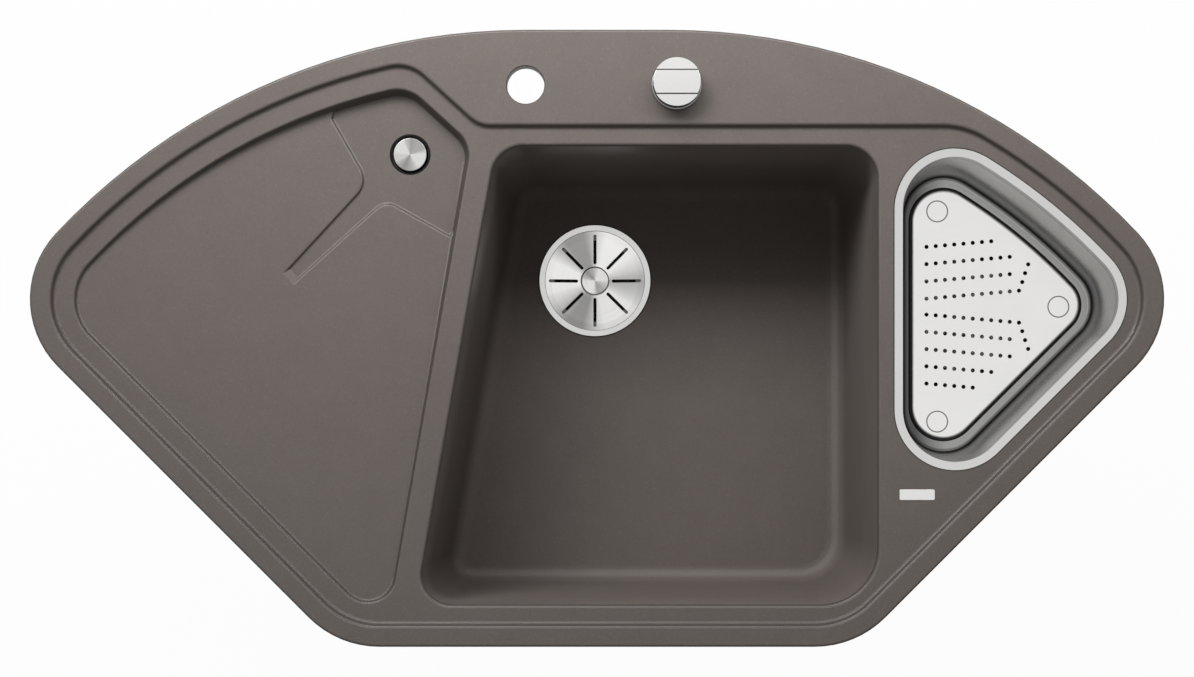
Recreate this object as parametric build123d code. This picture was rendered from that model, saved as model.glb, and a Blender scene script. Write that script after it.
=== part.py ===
from build123d import *
import math
import os

os.makedirs("parts", exist_ok=True)

# Corner kitchen sink, millimetres. +X right, +Y towards the wall corner, +Z up.
# The origin is the centre of the deck outline on the worktop plane (the rim's underside).

# --- deck outline -------------------------------------------------------------------
DECK_HALF_X = 528.5
DECK_HALF_Y = 287.5
REAR_ARC_R = 600.0
REAR_ARC_X = 66.6
SIDE_SUM = 528.9  # |x| - y along each 45 degree front side
SIDE_CORNER_R = 89.5
FRONT_CORNER_R = 93.0

# --- levels -------------------------------------------------------------------------
RIM_TOP = 9.0
TERRACE_TOP = 4.0
DECK_UNDER = -5.0
BOWL_FLOOR = -181.0
SIDE_BOWL_FLOOR = -121.0

# --- raised rim and tap ledge -------------------------------------------------------
RIM_EDGE_R = 2.5
SEAT_WIDTH = 16.0
TERRACE_INSET = 19.7
STEP_SLOPE = 18.0  # wall angle from vertical
STEP_R = 3.55
LEDGE_FRONT_Y = 198.6
LEDGE_CORNER_X = -110.1
LEDGE_ANGLE = 42.3  # slope of the ledge's left end
LEDGE_CREST_R = 36.0
LEDGE_INNER_R = 28.0
LEDGE_RIGHT_R = 78.0

# --- drainer ------------------------------------------------------------------------
DRAINER_INSET = 40.8
DRAINER_FRONT_Y = -200.0  # in front of it the two sides run on to the tip
DRAINER_RIGHT_X = -142.9
DRAINER_RIGHT_Y = 35.5
BOWL_SLANT = 9.92  # the drainer and the bowl share this slanted side
DRAINER_DIAGONAL = (-130.2, 193.2)
DRAINER_CREST_R = 34.0
DRAINER_REAR_R = 29.0
DRAINER_TIP_R = 26.3
DRAINER_Z = -5.5
DRAINER_FALL = (-0.0128, -0.01345)
DRAINER_THICKNESS = 10.0
DRAINER_CUT = 20.0
DRAINER_STEP_R = 2.55
CHANNEL_DEPTH = 2.5
CHANNEL_BANK = ((-0.5, 0.0), (0.3, 0.12), (1.1, 0.5), (2.0, 2.0), (2.8, 2.38), (3.6, 2.5))  # in, down
CHANNEL_RAMP = 8.0  # length of the slope that closes the gully's tip
CHANNEL_REAR = (-250.1, 206.1)
CHANNEL_BEND = (-216.5, 147.0)
CHANNEL_TIP_A = (-294.6, 61.8)
CHANNEL_TIP_B = (-284.3, 50.3)
CHANNEL_ELBOW = (-198.3, 128.4)
CHANNEL_END = (-137.7, 94.5)
CHANNEL_BEND_R = 19.0
CHANNEL_ELBOW_R = 14.6

# --- main bowl ----------------------------------------------------------------------
BOWL_RIGHT_X = 261.9
BOWL_REAR_Y = 179.9
BOWL_FRONT_Y = -248.5
BOWL_REAR_LEFT_X = -94.0
BOWL_RIM_RADII = (30.5, 30.0, 53.0, 28.0)
BOWL_FOOT_RADII = (27.0, 27.0, 45.0, 25.0)
BOWL_DRAFT = 15.0
BOWL_FLOOR_R = 17.0
BOWL_RIM_R = 3.5
BOWL_FLOOR_FALL = 0.0105
WALL = 9.0

# --- side bowl and lift-out tray ----------------------------------------------------
TRAY_INSET = 33.8
TRAY_LEFT_X = 277.1
TRAY_CORNER_R = 57.0
TRAY_RIM_WIDTH = 7.7
TRAY_RIM_THICKNESS = 1.6
TRAY_REBATE = 1.0
TRAY_DEPTH = 78.0
TRAY_DRAFT = 10.0
TRAY_SHEET = 1.0
TRAY_FLOOR_R = 5.0
TRAY_PLATEAU_INSET = 22.5
TRAY_PLATEAU_OFFSET = 3.5  # the plateau's extra distance from the three sloping sides
TRAY_PLATEAU_RISE = 4.0
TRAY_PLATEAU_SLOPE = 4.5
TRAY_PLATEAU_R = 4.0
SIDE_BOWL_INSET = 6.0
SIDE_BOWL_DRAFT = 8.0
SIDE_BOWL_FLOOR_R = 18.0

TRAY_HOLE_R = 2.0
TRAY_HOLE_PITCH = 8.92
TRAY_HOLE_X = 317.4
TRAY_HOLE_MID_Y = 34.9
TRAY_ROW_TILT = 5.0
# offset of each row from the middle, and how many holes it has
TRAY_ROWS = ((7.65, 11), (24.3, 10), (41.0, 10), (57.6, 8), (-7.65, 11), (-24.3, 10),
             (-41.0, 10), (-57.6, 8), (-74.2, 6))
TRAY_END_HOLES = ((409.8, 23.7), (412.5, 32.3), (415.5, 40.8))
TRAY_FEET = ((327.7, 126.8), (444.6, 34.8), (327.7, -76.0))
TRAY_FOOT_R = 10.0
TRAY_FOOT_GROOVE = (0.4, 0.4)  # half width and depth of the ring pressed over each foot
TRAY_FOOT_HEIGHT = 4.0

# --- tap hole, rotary control, badge ------------------------------------------------
TAP_HOLE = (-66.5, 235.8)
TAP_HOLE_R = 17.5
KNOB = (74.1, 236.0)
KNOB_R = 22.5
KNOB_TOP = 26.0
KNOB_UNDER = 12.4
KNOB_SHELL = 2.0
KNOB_CROWN = 5.0
KNOB_HUB_R = 9.0
KNOB_GROOVE_GAP = 22.2
KNOB_GROOVE_WIDTH = 1.2
KNOB_GROOVE_DEPTH = 2.5
KNOB_SEGMENT_DROP = 0.7
COLLAR_R = 23.5
COLLAR_BOTTOM = 9.5
COLLAR_TOP = 12.0
SLEEVE_R = 16.4
SLEEVE_BORE_R = 13.0
SLEEVE_FOOT = -28.0
SPINDLE_R = 5.0
SPINDLE_FOOT = -38.5
SPINDLE_STOP_R = 8.0
BUSH_FOOT = -10.0
BUSH_TOP = 8.0
DRUM_R = 17.0
DRUM_GROOVE_R = 14.5
DRUM_HEIGHT = 9.0
DRUM_FLANGE = 2.5
HOUSING_R = 23.0
HOUSING_BORE_R = 18.5
HOUSING_FOOT = -42.0
HOUSING_TOP = -22.0
HOUSING_ARM = (14.0, 14.0, 10.0)
CABLE_Z = -33.5
GLAND_R = 4.0
GLAND_THREAD = 6.0
GLAND_NUT_R = 6.0
GLAND_NUT_LENGTH = 8.0
GLAND_BORE_R = 1.6
LOCK_WASHER = (16.8, 24.0, 1.5)
LOCK_NUT_R = 25.0
LOCK_NUT_HEIGHT = 6.5
BADGE = (298.7, -145.8)
BADGE_SIZE = (33.0, 10.0, 0.9)
BADGE_SUNK = 0.5

# --- wastes, overflow and pipework --------------------------------------------------
MAIN_WASTE = (-3.3, 70.3)
SIDE_WASTE = (365.0, 31.0)
BOSS_R = 64.0
BOSS_DEPTH = 16.0
FLANGE_R = 57.25
FLANGE_BORE_R = 50.9
FLANGE_SUNK = 0.5
FLANGE_LIP = 2.1
FLANGE_STEP = 7.0
FLANGE_SHEET = 1.0
NECK_R = 43.0
NECK_SHEET = 1.5
NECK_DEPTH = 41.0
PLUG_SHELF_R = 39.0
PLUG_SHELF_DEPTH = 27.0
SEAL_THICKNESS = 2.0
GASKET_R = 58.0
GASKET_THICKNESS = 3.0
WASTE_NUT_R = 60.0
WASTE_NUT_HEIGHT = 8.0
WASTE_NUT_NOTCH = (6.0, 16.0)
STRAINER_R = 50.5
STRAINER_EDGE = 1.2
STRAINER_DISH = 4.0
STRAINER_SHEET = 1.0
STEM_R = 3.0
STEM_LENGTH = 8.0
BUTTON_R = 14.6
BUTTON_HEIGHT = 4.2
PLUG_R = 36.0
PLUG_STEM_R = 9.0
PLUG_DROP = 22.0
PLUG_THICKNESS = 3.5
PLUG_SOCKET = 9.0
PLUG_SEAL_R = 40.8
SLOT_START = 17.2
SLOT_END = 47.0
SLOT_WIDTH = 3.2
SLOT_COUNT = 8
CUP_R = 48.5
CUP_DROP = 28.0
CUP_CONE = 14.0
HOSE_R = 10.5
HOSE_BORE_R = 8.5
BARB_R = 12.0
BARB_LENGTH = 5.0
BARB_PITCH = 7.0
WASTE_SPIGOT = (44.0, 76.0)  # where the hose spigot starts and ends, from the waste's axis
WASTE_SPIGOT_DROP = 54.0
MAIN_CUP_FLOOR = BOWL_FLOOR - 76
SIDE_CUP_FLOOR = SIDE_BOWL_FLOOR - 60
SPIGOT_DROP = 36.0
PIN_R = 3.05
LEVER_PIN_R = 1.5
LEVER_BOX = (22.0, 18.0, 30.0)
LEVER_BOX_WALL = 2.5
LEVER_WINDOW = (12.0, 8.0, 16.0)
LEVER_GLAND = (14.0, -13.0)  # gland from the lever's pivot: outwards, upwards
GUIDE_RISE = 13.0
GUIDE_R = 6.5
GUIDE_HEIGHT = 5.0
LEVER_ARM = 54.0
LEVER_PIVOT_Z = BOWL_FLOOR - 59.8
LEVER_LIFT = 12.0
PIPE_R = 20.0
PIPE_WALL = 2.0
SOCKET_DEPTH = 20.0
SOCKET_WALL = 4.0
DRAIN_Z = -326.0
TEE_REACH = 48.0
BEND_REACH = 60.0
BEND_R = 38.0
FITTING_R = 22.0
SPIGOT_INSERT = 11.0  # how far each cup's spigot reaches into its socket
OUTLET_R = 23.9
OUTLET_LENGTH = 16.0
OUTLET_FOOT = 44.0
SLIP_NUT = (14.0, 6.0)  # how far the nut reaches over the socket and over the pipe
SLIP_SEAL = 3.0
SLIP_RIB = (2.4, 5.0, 18.0)
SLIP_RIBS = 10
OVERFLOW = (-175.5, 173.3)
OVERFLOW_HOLE_R = 19.2
OVERFLOW_LIP_Z = -14.0
OVERFLOW_BOSS_Z = -20.0
OVERFLOW_CAP_R = 15.5
OVERFLOW_CAP_RISE = 5.0
OVERFLOW_CAP_THICKNESS = 2.0
CAP_CLIP_R = 12.0
CAP_SOCKET_R = 5.6
SPIDER_R = 17.4
SPIDER_HUB_R = 5.5
SPIDER_HUB_HEIGHT = 3.1
SPIDER_ARM = (13.0, 3.0, 1.4)
OVERFLOW_SCREW_R = 2.0
OVERFLOW_HEAD = (3.7, 1.6, 3.0)  # radius, underside and top of the head above the lip
OVERFLOW_CUP_R = 22.0
OVERFLOW_CUP_BORE_R = 19.5
OVERFLOW_CUP_DEPTH = 35.0
OVERFLOW_GASKET = (17.0, 27.0, 2.0)
OVERFLOW_PILLAR_R = 5.0
OVERFLOW_SPIGOT = (19.0, 50.0)

# --- fixing clips -------------------------------------------------------------------
CLIP_INSET = 23.0
CLIP_PEG_R = 2.6
CLIP_PEG_Y = 13.0
CLIP_PEG_HEIGHT = 5.0
CLIP_BASE = (12.0, 36.0, 4.0)
CLIP_WEB = (3.0, 30.0, 8.0)
CLIP_LUG = (6.0, 14.0)  # radius and length of the bored lug
CLIP_SCREW_R = 2.5
CLIP_HEAD = (5.0, 4.0)  # radius and height of the screw's head
CLIP_SLOT = (6.0, 1.2, 3.0)
CLIP_CLAW_Z = -44.0
CLIP_BOSS = (7.0, 9.0)  # radius and height of the claw's boss
CLIP_ARM = (24.0, 11.0, 6.0)
CLIP_TOOTH = (4.0, 3.0)  # width and height of a tooth
CLIP_TOOTH_PITCH = 4.4
CLIP_TEETH = 3

BIG = 1500.0
GAP = 0.4
RUNNING = 0.05  # radial clearance of a shaft that turns or slides in its hole


def write(name, shape):
    """Save one piece as parts/NAME.step."""
    export_step(shape, "parts/" + name + ".step")


def group(solids):
    """Put like solids together in one node."""
    return Compound(children=[Solid(s.wrapped) for shape in solids for s in shape.solids()])


def disc(x, y, low, high, radius):
    """An upright cylinder between two levels."""
    return Pos(x, y, low) * Cylinder(radius, high - low, align=(Align.CENTER, Align.CENTER, Align.MIN))


def ring(x, y, low, high, inner, outer):
    """An upright tube between two levels."""
    return disc(x, y, low, high, outer) - disc(x, y, low - 1, high + 1, inner)


def slab(face, low, high):
    """A flat face drawn at z = 0, as a plate between two levels."""
    return Pos(0, 0, low) * extrude(face, high - low)


def frustum(upper, lower, top, bottom):
    """Straight walls from one face at the top to another at the bottom."""
    return loft([Pos(0, 0, bottom) * lower, Pos(0, 0, top) * upper], ruled=True)


def turned(x, y, profile):
    """A solid of revolution about an upright axis; profile is a list of (radius, z)."""
    face = make_face(Polyline(*[(r, 0, z) for r, z in profile], close=True))
    return Pos(x, y, 0) * revolve(face, Axis.Z, 360)


def above(point, height, fall):
    """Everything above the tilted plane through a point."""
    plane = Plane(origin=(point[0], point[1], height), z_dir=(-fall[0], -fall[1], 1))
    return plane * Box(2 * BIG, 2 * BIG, BIG, align=(Align.CENTER, Align.CENTER, Align.MIN))


def nearest(shapes, x, y, z=0.0):
    """The vertex that lies nearest to a point."""
    target = Vector(x, y, z)
    return min(shapes, key=lambda v: (Vector(v.X, v.Y, v.Z) - target).length)


def rounded(face, corners):
    """Round corners of a flat face; corners is a list of (x, y, radius)."""
    for x, y, radius in corners:
        face = face.fillet_2d(radius, [nearest(face.vertices(), x, y)])
    return face


def edges_at(shape, level, inside=None):
    """Edges that lie at one level, optionally only those within a face grown a little."""
    found = shape.edges().filter_by_position(Axis.Z, level - 0.02, level + 0.02)
    if inside is None:
        return found
    return [e for e in found if inside.is_inside(Vector(e.center().X, e.center().Y, 0))]


def lowest_edges(shape):
    """Edges round the lowest face of a solid."""
    return shape.faces().sort_by(Axis.Z)[0].edges()


# --- outlines -----------------------------------------------------------------------

def deck_face(inset=0.0):
    """The deck outline, moved inwards: rear arcs, 45 degree sides and rounded corners."""
    radius = REAR_ARC_R - inset
    arc_y = DECK_HALF_Y - REAR_ARC_R
    front = -DECK_HALF_Y + inset
    side = SIDE_SUM - inset * math.sqrt(2)
    rear = Pos(-REAR_ARC_X, arc_y) * Circle(radius) + Pos(REAR_ARC_X, arc_y) * Circle(radius)
    rear += Pos(0, arc_y + radius / 2) * Rectangle(2 * REAR_ARC_X, radius)
    front_corner = side + front
    wedge = Polygon((-front_corner, front), (front_corner, front), (side + BIG, BIG),
                    (-side - BIG, BIG), align=None)
    face = (rear & wedge).face()
    middle_x = DECK_HALF_X - inset
    corners = [(sign * front_corner, front, FRONT_CORNER_R - inset) for sign in (-1, 1)]
    corners += [(sign * middle_x, SIDE_CORNER_R / 2, SIDE_CORNER_R - inset) for sign in (-1, 1)]
    return rounded(face, corners)


def terrace_face():
    """The sunk part of the deck: all of it but the rim and the raised tap ledge."""
    slope = math.tan(math.radians(LEDGE_ANGLE))
    rise = 200.0
    ledge = Polygon((LEDGE_CORNER_X, LEDGE_FRONT_Y), (BIG, LEDGE_FRONT_Y), (BIG, BIG),
                    (LEDGE_CORNER_X - rise / slope, BIG),
                    (LEDGE_CORNER_X - rise / slope, LEDGE_FRONT_Y + rise), align=None)
    face = (deck_face(TERRACE_INSET) - ledge).face()
    return rounded(face, [(-172.0, 256.0, LEDGE_CREST_R),
                          (LEDGE_CORNER_X, LEDGE_FRONT_Y, LEDGE_INNER_R),
                          (340.0, LEDGE_FRONT_Y, LEDGE_RIGHT_R)])


def slanted_x(y, x_at, y_at):
    """Where the slanted line between drainer and bowl stands at a given y."""
    return x_at + (y - y_at) * math.tan(math.radians(BOWL_SLANT))


def drainer_face():
    """The drainer recess: the deck outline cut by the ledge's diagonal and the slanted side."""
    slope = math.tan(math.radians(LEDGE_ANGLE))
    slant = math.tan(math.radians(BOWL_SLANT))
    corner_x, corner_y = DRAINER_DIAGONAL
    # the diagonal runs down to the right until it meets the slanted right side
    fall = (slanted_x(corner_y, DRAINER_RIGHT_X, DRAINER_RIGHT_Y) - corner_x)
    fall /= 1 + slope * slant
    meet = (corner_x + fall, corner_y - fall * slope)
    front_x = slanted_x(DRAINER_FRONT_Y, DRAINER_RIGHT_X, DRAINER_RIGHT_Y)
    rise = 150.0
    cut = Polygon((front_x, DRAINER_FRONT_Y), meet, (meet[0] - rise / slope, meet[1] + rise),
                  (-BIG, meet[1] + rise), (-BIG, DRAINER_FRONT_Y), align=None)
    face = deck_face(DRAINER_INSET) & cut
    # the slanted side and the 45 degree side run on in front of that cut until they meet
    side = SIDE_SUM - DRAINER_INSET * math.sqrt(2)
    tip_y = (DRAINER_RIGHT_Y * slant - DRAINER_RIGHT_X - side) / (1 + slant)
    tip = (-side - tip_y, tip_y)
    face += Polygon((-side - DRAINER_FRONT_Y, DRAINER_FRONT_Y), tip, (front_x, DRAINER_FRONT_Y),
                    align=None)
    return rounded(face.face(), [(-182.0, 240.0, DRAINER_CREST_R), (*meet, DRAINER_REAR_R),
                                 (*tip, DRAINER_TIP_R)])


def bowl_face(inset, radii):
    """The main bowl's four-sided outline, moved inwards, with its own corner radii."""
    shift = inset / math.cos(math.radians(BOWL_SLANT))
    rear, front, right = BOWL_REAR_Y - inset, BOWL_FRONT_Y + inset, BOWL_RIGHT_X - inset
    left_rear = slanted_x(rear, BOWL_REAR_LEFT_X, BOWL_REAR_Y) + shift
    left_front = slanted_x(front, BOWL_REAR_LEFT_X, BOWL_REAR_Y) + shift
    corners = [(left_rear, rear), (right, rear), (right, front), (left_front, front)]
    face = Polygon(*corners, align=None).face()
    return rounded(face, [(*corner, radius) for corner, radius in zip(corners, radii)])


def tray_face(inset=0.0, further=0.0):
    """The tray's outline: the deck outline moved inwards and cut straight on the left."""
    grown = TRAY_INSET + inset + further
    left = TRAY_LEFT_X + inset
    cut = Pos(left + BIG / 2, 0) * Rectangle(BIG, BIG)
    face = (deck_face(grown) & cut).face()
    radius = TRAY_CORNER_R - inset
    return rounded(face, [(left, 180.0, radius), (left, -200.0, radius)])


# --- moulded sink body --------------------------------------------------------------

def bowl_block(wall, floor, radius):
    """The main bowl as a solid block, grown by a wall thickness."""
    rim = bowl_face(-wall, [r + wall for r in BOWL_RIM_RADII])
    foot = bowl_face(BOWL_DRAFT - wall, [r + wall for r in BOWL_FOOT_RADII])
    block = frustum(rim, foot, TERRACE_TOP, BOWL_FLOOR - 20)
    block &= above(MAIN_WASTE, floor, (0, -BOWL_FLOOR_FALL))
    return fillet(lowest_edges(block), radius)


def side_bowl_block(wall, floor, radius):
    """The side bowl under the tray as a solid block, grown by a wall thickness."""
    rim = tray_face(SIDE_BOWL_INSET - wall)
    foot = tray_face(SIDE_BOWL_INSET + SIDE_BOWL_DRAFT - wall)
    block = frustum(rim, foot, TERRACE_TOP, floor)
    return fillet(lowest_edges(block), radius)


def sloping_walls(face, top, depth):
    """A block below a face whose walls lean in like every step of the deck."""
    draft = depth * math.tan(math.radians(STEP_SLOPE))
    return frustum(face, offset(face, -draft), top, top - depth)


def step_cutter(face, top, depth):
    """A level pocket with sloping walls and a rounded foot."""
    block = sloping_walls(face, top, depth)
    return fillet(lowest_edges(block), STEP_R)


def drainer_cutter(drainer):
    """The drainer recess, whose floor falls towards the outlet."""
    block = sloping_walls(drainer, TERRACE_TOP, DRAINER_CUT)
    block &= above(OVERFLOW, DRAINER_Z, DRAINER_FALL)
    return fillet(lowest_edges(block), DRAINER_STEP_R)


def channel_cutter(drainer):
    """The gully that starts with a short ramp on the drainer and widens round its outlet."""
    path = FilletPolyline(CHANNEL_TIP_A, CHANNEL_BEND, CHANNEL_REAR, radius=CHANNEL_BEND_R)
    path += FilletPolyline(CHANNEL_END, CHANNEL_ELBOW, CHANNEL_TIP_B, radius=CHANNEL_ELBOW_R)
    path += Line(CHANNEL_TIP_B, CHANNEL_TIP_A)
    path += Polyline(CHANNEL_REAR, (-230.0, 300.0), (-60.0, 200.0), CHANNEL_END)
    outline = Pos(-OVERFLOW[0], -OVERFLOW[1]) * make_face(path)
    surface = Plane(origin=(*OVERFLOW, DRAINER_Z), x_dir=(1, 0, DRAINER_FALL[0]),
                    z_dir=(-DRAINER_FALL[0], -DRAINER_FALL[1], 1))
    region = extrude(offset(outline, -CHANNEL_BANK[0][0]), 15)
    for (inset, down), (next_inset, next_down) in zip(CHANNEL_BANK, CHANNEL_BANK[1:]):
        upper, lower = offset(outline, -inset), offset(outline, -next_inset)
        region += frustum(upper, lower, -down, -next_down)
    block = sloping_walls(drainer, TERRACE_TOP, DRAINER_CUT)
    block &= above(OVERFLOW, DRAINER_Z - CHANNEL_DEPTH, DRAINER_FALL)
    block = fillet(lowest_edges(block), DRAINER_STEP_R)
    tip = [(CHANNEL_TIP_A[i] + CHANNEL_TIP_B[i]) / 2 for i in (0, 1)]
    across = (CHANNEL_TIP_A[0] - CHANNEL_TIP_B[0], CHANNEL_TIP_A[1] - CHANNEL_TIP_B[1])
    steepness = CHANNEL_DEPTH / CHANNEL_RAMP / math.hypot(*across)
    ramp = (DRAINER_FALL[0] - steepness * across[1], DRAINER_FALL[1] + steepness * across[0])
    return block & (surface * region) & above(tip, drainer_level(*tip), ramp)


def drainer_level(x, y):
    """Height of the drainer floor, which falls towards the outlet."""
    return DRAINER_Z + (x - OVERFLOW[0]) * DRAINER_FALL[0] + (y - OVERFLOW[1]) * DRAINER_FALL[1]


def deck_blank():
    """Plates and outer shells below the terrace, before anything is hollowed out."""
    body = slab(deck_face(), 0, TERRACE_TOP) + slab(deck_face(SEAT_WIDTH), DECK_UNDER, 0)
    under = slab(offset(drainer_face(), WALL), -30, DECK_UNDER)
    body += under & above(OVERFLOW, DRAINER_Z - DRAINER_THICKNESS, DRAINER_FALL)
    body += bowl_block(WALL, BOWL_FLOOR - WALL - 1, BOWL_FLOOR_R + 6)
    body += side_bowl_block(WALL, SIDE_BOWL_FLOOR - WALL, SIDE_BOWL_FLOOR_R + 6)
    body += disc(*MAIN_WASTE, BOWL_FLOOR - BOSS_DEPTH, BOWL_FLOOR - 5, BOSS_R)
    body += disc(*SIDE_WASTE, SIDE_BOWL_FLOOR - BOSS_DEPTH, SIDE_BOWL_FLOOR - 5, BOSS_R)
    return body + disc(*OVERFLOW, OVERFLOW_BOSS_Z, 0, 30)


def rim_frame():
    """The raised rim and tap ledge round the terrace, with soft edges."""
    frame = slab(deck_face(), TERRACE_TOP, RIM_TOP)
    frame = fillet(edges_at(frame, RIM_TOP), RIM_EDGE_R)
    frame -= step_cutter(terrace_face(), RIM_TOP, RIM_TOP - TERRACE_TOP)
    return fillet(edges_at(frame, RIM_TOP, deck_face(TERRACE_INSET - 3)), STEP_R)


def waste_seat(centre, level):
    """Stepped hole for a waste flange, its gasket and its neck."""
    seal_depth = FLANGE_STEP + SEAL_THICKNESS
    seat = disc(*centre, level - FLANGE_LIP, level + 5, FLANGE_R + 0.6)
    seat += disc(*centre, level - seal_depth, level, FLANGE_BORE_R + FLANGE_SHEET + 0.7)
    return seat + disc(*centre, level - BOSS_DEPTH - 1, level, NECK_R + 1)


def moulding():
    """The one-piece moulding: rim, tap ledge, terrace, drainer and both bowls."""
    body = deck_blank() - bowl_block(0, BOWL_FLOOR, BOWL_FLOOR_R)
    bowl_rim = bowl_face(-1, [r + 1 for r in BOWL_RIM_RADII])
    body = fillet(edges_at(body, TERRACE_TOP, bowl_rim), BOWL_RIM_R)
    body += rim_frame()
    drainer = drainer_face()
    body -= drainer_cutter(drainer)
    body = fillet(edges_at(body, TERRACE_TOP, offset(drainer, 2)), DRAINER_STEP_R)
    body -= channel_cutter(drainer)
    body -= side_bowl_block(0, SIDE_BOWL_FLOOR, SIDE_BOWL_FLOOR_R)
    body -= slab(tray_face(-GAP), TERRACE_TOP - TRAY_REBATE, TERRACE_TOP + 1)
    for hole in (TAP_HOLE, KNOB):
        body -= disc(*hole, DECK_UNDER - 1, RIM_TOP + 1, TAP_HOLE_R)
    body = chamfer(edges_at(body, RIM_TOP, Pos(*TAP_HOLE) * Circle(TAP_HOLE_R + 1)), 0.8)
    body -= waste_seat(MAIN_WASTE, BOWL_FLOOR) + waste_seat(SIDE_WASTE, SIDE_BOWL_FLOOR)
    body -= disc(*OVERFLOW, OVERFLOW_LIP_Z, 0, OVERFLOW_HOLE_R)
    body -= disc(*OVERFLOW, OVERFLOW_BOSS_Z - 1, 0, OVERFLOW_HOLE_R - 2.5)
    length, width, _ = BADGE_SIZE
    recess = RectangleRounded(length + GAP, width + GAP, 1.7)
    body -= Pos(*BADGE, TERRACE_TOP - BADGE_SUNK) * extrude(recess, 2)
    for place in clip_places():
        body -= clip_pegs(*place, CLIP_PEG_HEIGHT + 0.2)
    return body


def sink_parts():
    """The moulding as its deck and its two bowls, which meet flush in the deck's underside."""
    whole = moulding()
    outline = bowl_face(-WALL - 1, [r + WALL + 1 for r in BOWL_RIM_RADII])
    main_zone = frustum(outline, outline, DECK_UNDER, BOWL_FLOOR - 2 * BOSS_DEPTH)
    outline = tray_face(SIDE_BOWL_INSET - WALL - 1)
    side_zone = frustum(outline, outline, DECK_UNDER, SIDE_BOWL_FLOOR - 2 * BOSS_DEPTH)
    write("main_bowl", whole & main_zone)
    write("side_bowl", whole & side_zone)
    write("sink_deck", whole - main_zone - side_zone)


# --- fixing clips -------------------------------------------------------------------

def clip_places():
    """Six places round the rim: point and the outward direction in degrees."""
    places = []
    radius = REAR_ARC_R - CLIP_INSET
    arc_y = DECK_HALF_Y - REAR_ARC_R
    for turn in (66, 114):
        sign = 1 if turn < 90 else -1
        x = sign * REAR_ARC_X + radius * math.cos(math.radians(turn))
        places.append((x, arc_y + radius * math.sin(math.radians(turn)), turn))
    side = (SIDE_SUM - CLIP_INSET * math.sqrt(2))
    for sign, turn in ((1, -45), (-1, 225)):
        y = -110.0
        places.append((sign * (side + y), y, turn))
    for x in (-120.0, 120.0):
        places.append((x, -DECK_HALF_Y + CLIP_INSET, 270))
    return places


def clip_pegs(x, y, angle, height):
    """The two pegs that a clip bracket holds in the underside of the deck."""
    place = Pos(x, y, DECK_UNDER) * Rot(0, 0, angle)
    peg = Cylinder(CLIP_PEG_R, height, align=(Align.CENTER, Align.CENTER, Align.MIN))
    return place * (Pos(0, -CLIP_PEG_Y, 0) * peg + Pos(0, CLIP_PEG_Y, 0) * peg)


def clip_bracket(x, y, angle):
    """Bracket under the deck with a bored lug for the clamping screw."""
    thick, web_height = CLIP_BASE[2], CLIP_WEB[2]
    lug_r, lug_length = CLIP_LUG
    shape = Pos(0, 0, -thick / 2) * Box(*CLIP_BASE)
    shape += Pos(0, 0, -thick - web_height / 2) * Box(*CLIP_WEB)
    shape += Pos(0, 0, -thick - lug_length / 2) * Cylinder(lug_r, lug_length)
    shape -= Cylinder(CLIP_SCREW_R + RUNNING, 4 * lug_length)
    return (Pos(x, y, DECK_UNDER) * Rot(0, 0, angle) * shape
            + clip_pegs(x, y, angle, CLIP_PEG_HEIGHT))


def clip_screw(x, y):
    """Clamping screw with a cross-slotted head below the claw."""
    head_r, head_height = CLIP_HEAD
    seat = CLIP_CLAW_Z - CLIP_BOSS[1] / 2 - 1.5
    foot = seat - head_height
    head = fillet(edges_at(disc(x, y, foot, seat, head_r), foot), 1.5)
    slots = Box(*CLIP_SLOT) + Rot(0, 0, 90) * Box(*CLIP_SLOT)
    shank = disc(x, y, seat, DECK_UNDER - CLIP_BASE[2] - 0.5, CLIP_SCREW_R)
    return head + shank - Pos(x, y, foot) * slots


def clip_claw(x, y, angle):
    """Claw that bears on the worktop from below, folded along the rim at rest."""
    boss_r, boss_height = CLIP_BOSS
    length, width, thick = CLIP_ARM
    tooth_width, tooth_height = CLIP_TOOTH
    tooth = make_face(Polyline((0, 0), (tooth_width, 0), (tooth_width / 2, tooth_height), close=True))
    tooth = Rot(90, 0, 0) * extrude(tooth, width)
    arm_z = (thick - boss_height) / 2
    shape = Cylinder(boss_r, boss_height) + Pos(length / 2, 0, arm_z) * Box(*CLIP_ARM)
    for k in range(CLIP_TEETH):
        along = length - CLIP_TEETH * CLIP_TOOTH_PITCH + CLIP_TOOTH_PITCH * k
        shape += Pos(along, width / 2, arm_z + thick / 2) * tooth
    shape -= Cylinder(CLIP_SCREW_R + RUNNING, 2 * boss_height)
    return Pos(x, y, CLIP_CLAW_Z) * Rot(0, 0, angle + 90) * shape


# --- rotary control -----------------------------------------------------------------

def knob_grip():
    """Cap with a full-width bar between two parallel grooves and two lower segments."""
    x, y = KNOB
    cap = fillet(edges_at(disc(x, y, KNOB_UNDER, KNOB_TOP, KNOB_R), KNOB_TOP), 1.0)
    across = 3 * KNOB_R
    for side in (-1, 1):
        groove_y = y + side * KNOB_GROOVE_GAP / 2
        cap -= Pos(x, groove_y, KNOB_TOP) * Box(across, KNOB_GROOVE_WIDTH, 2 * KNOB_GROOVE_DEPTH)
        segment = Box(across, across, 2 * KNOB_SEGMENT_DROP)
        cap -= Pos(x, groove_y + side * across / 2, KNOB_TOP) * segment
    ceiling = KNOB_TOP - KNOB_CROWN
    cap -= ring(x, y, KNOB_UNDER - 1, ceiling, KNOB_HUB_R, KNOB_R - KNOB_SHELL)
    return cap - disc(x, y, KNOB_UNDER - 1, ceiling + 0.05, SPINDLE_R)


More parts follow.
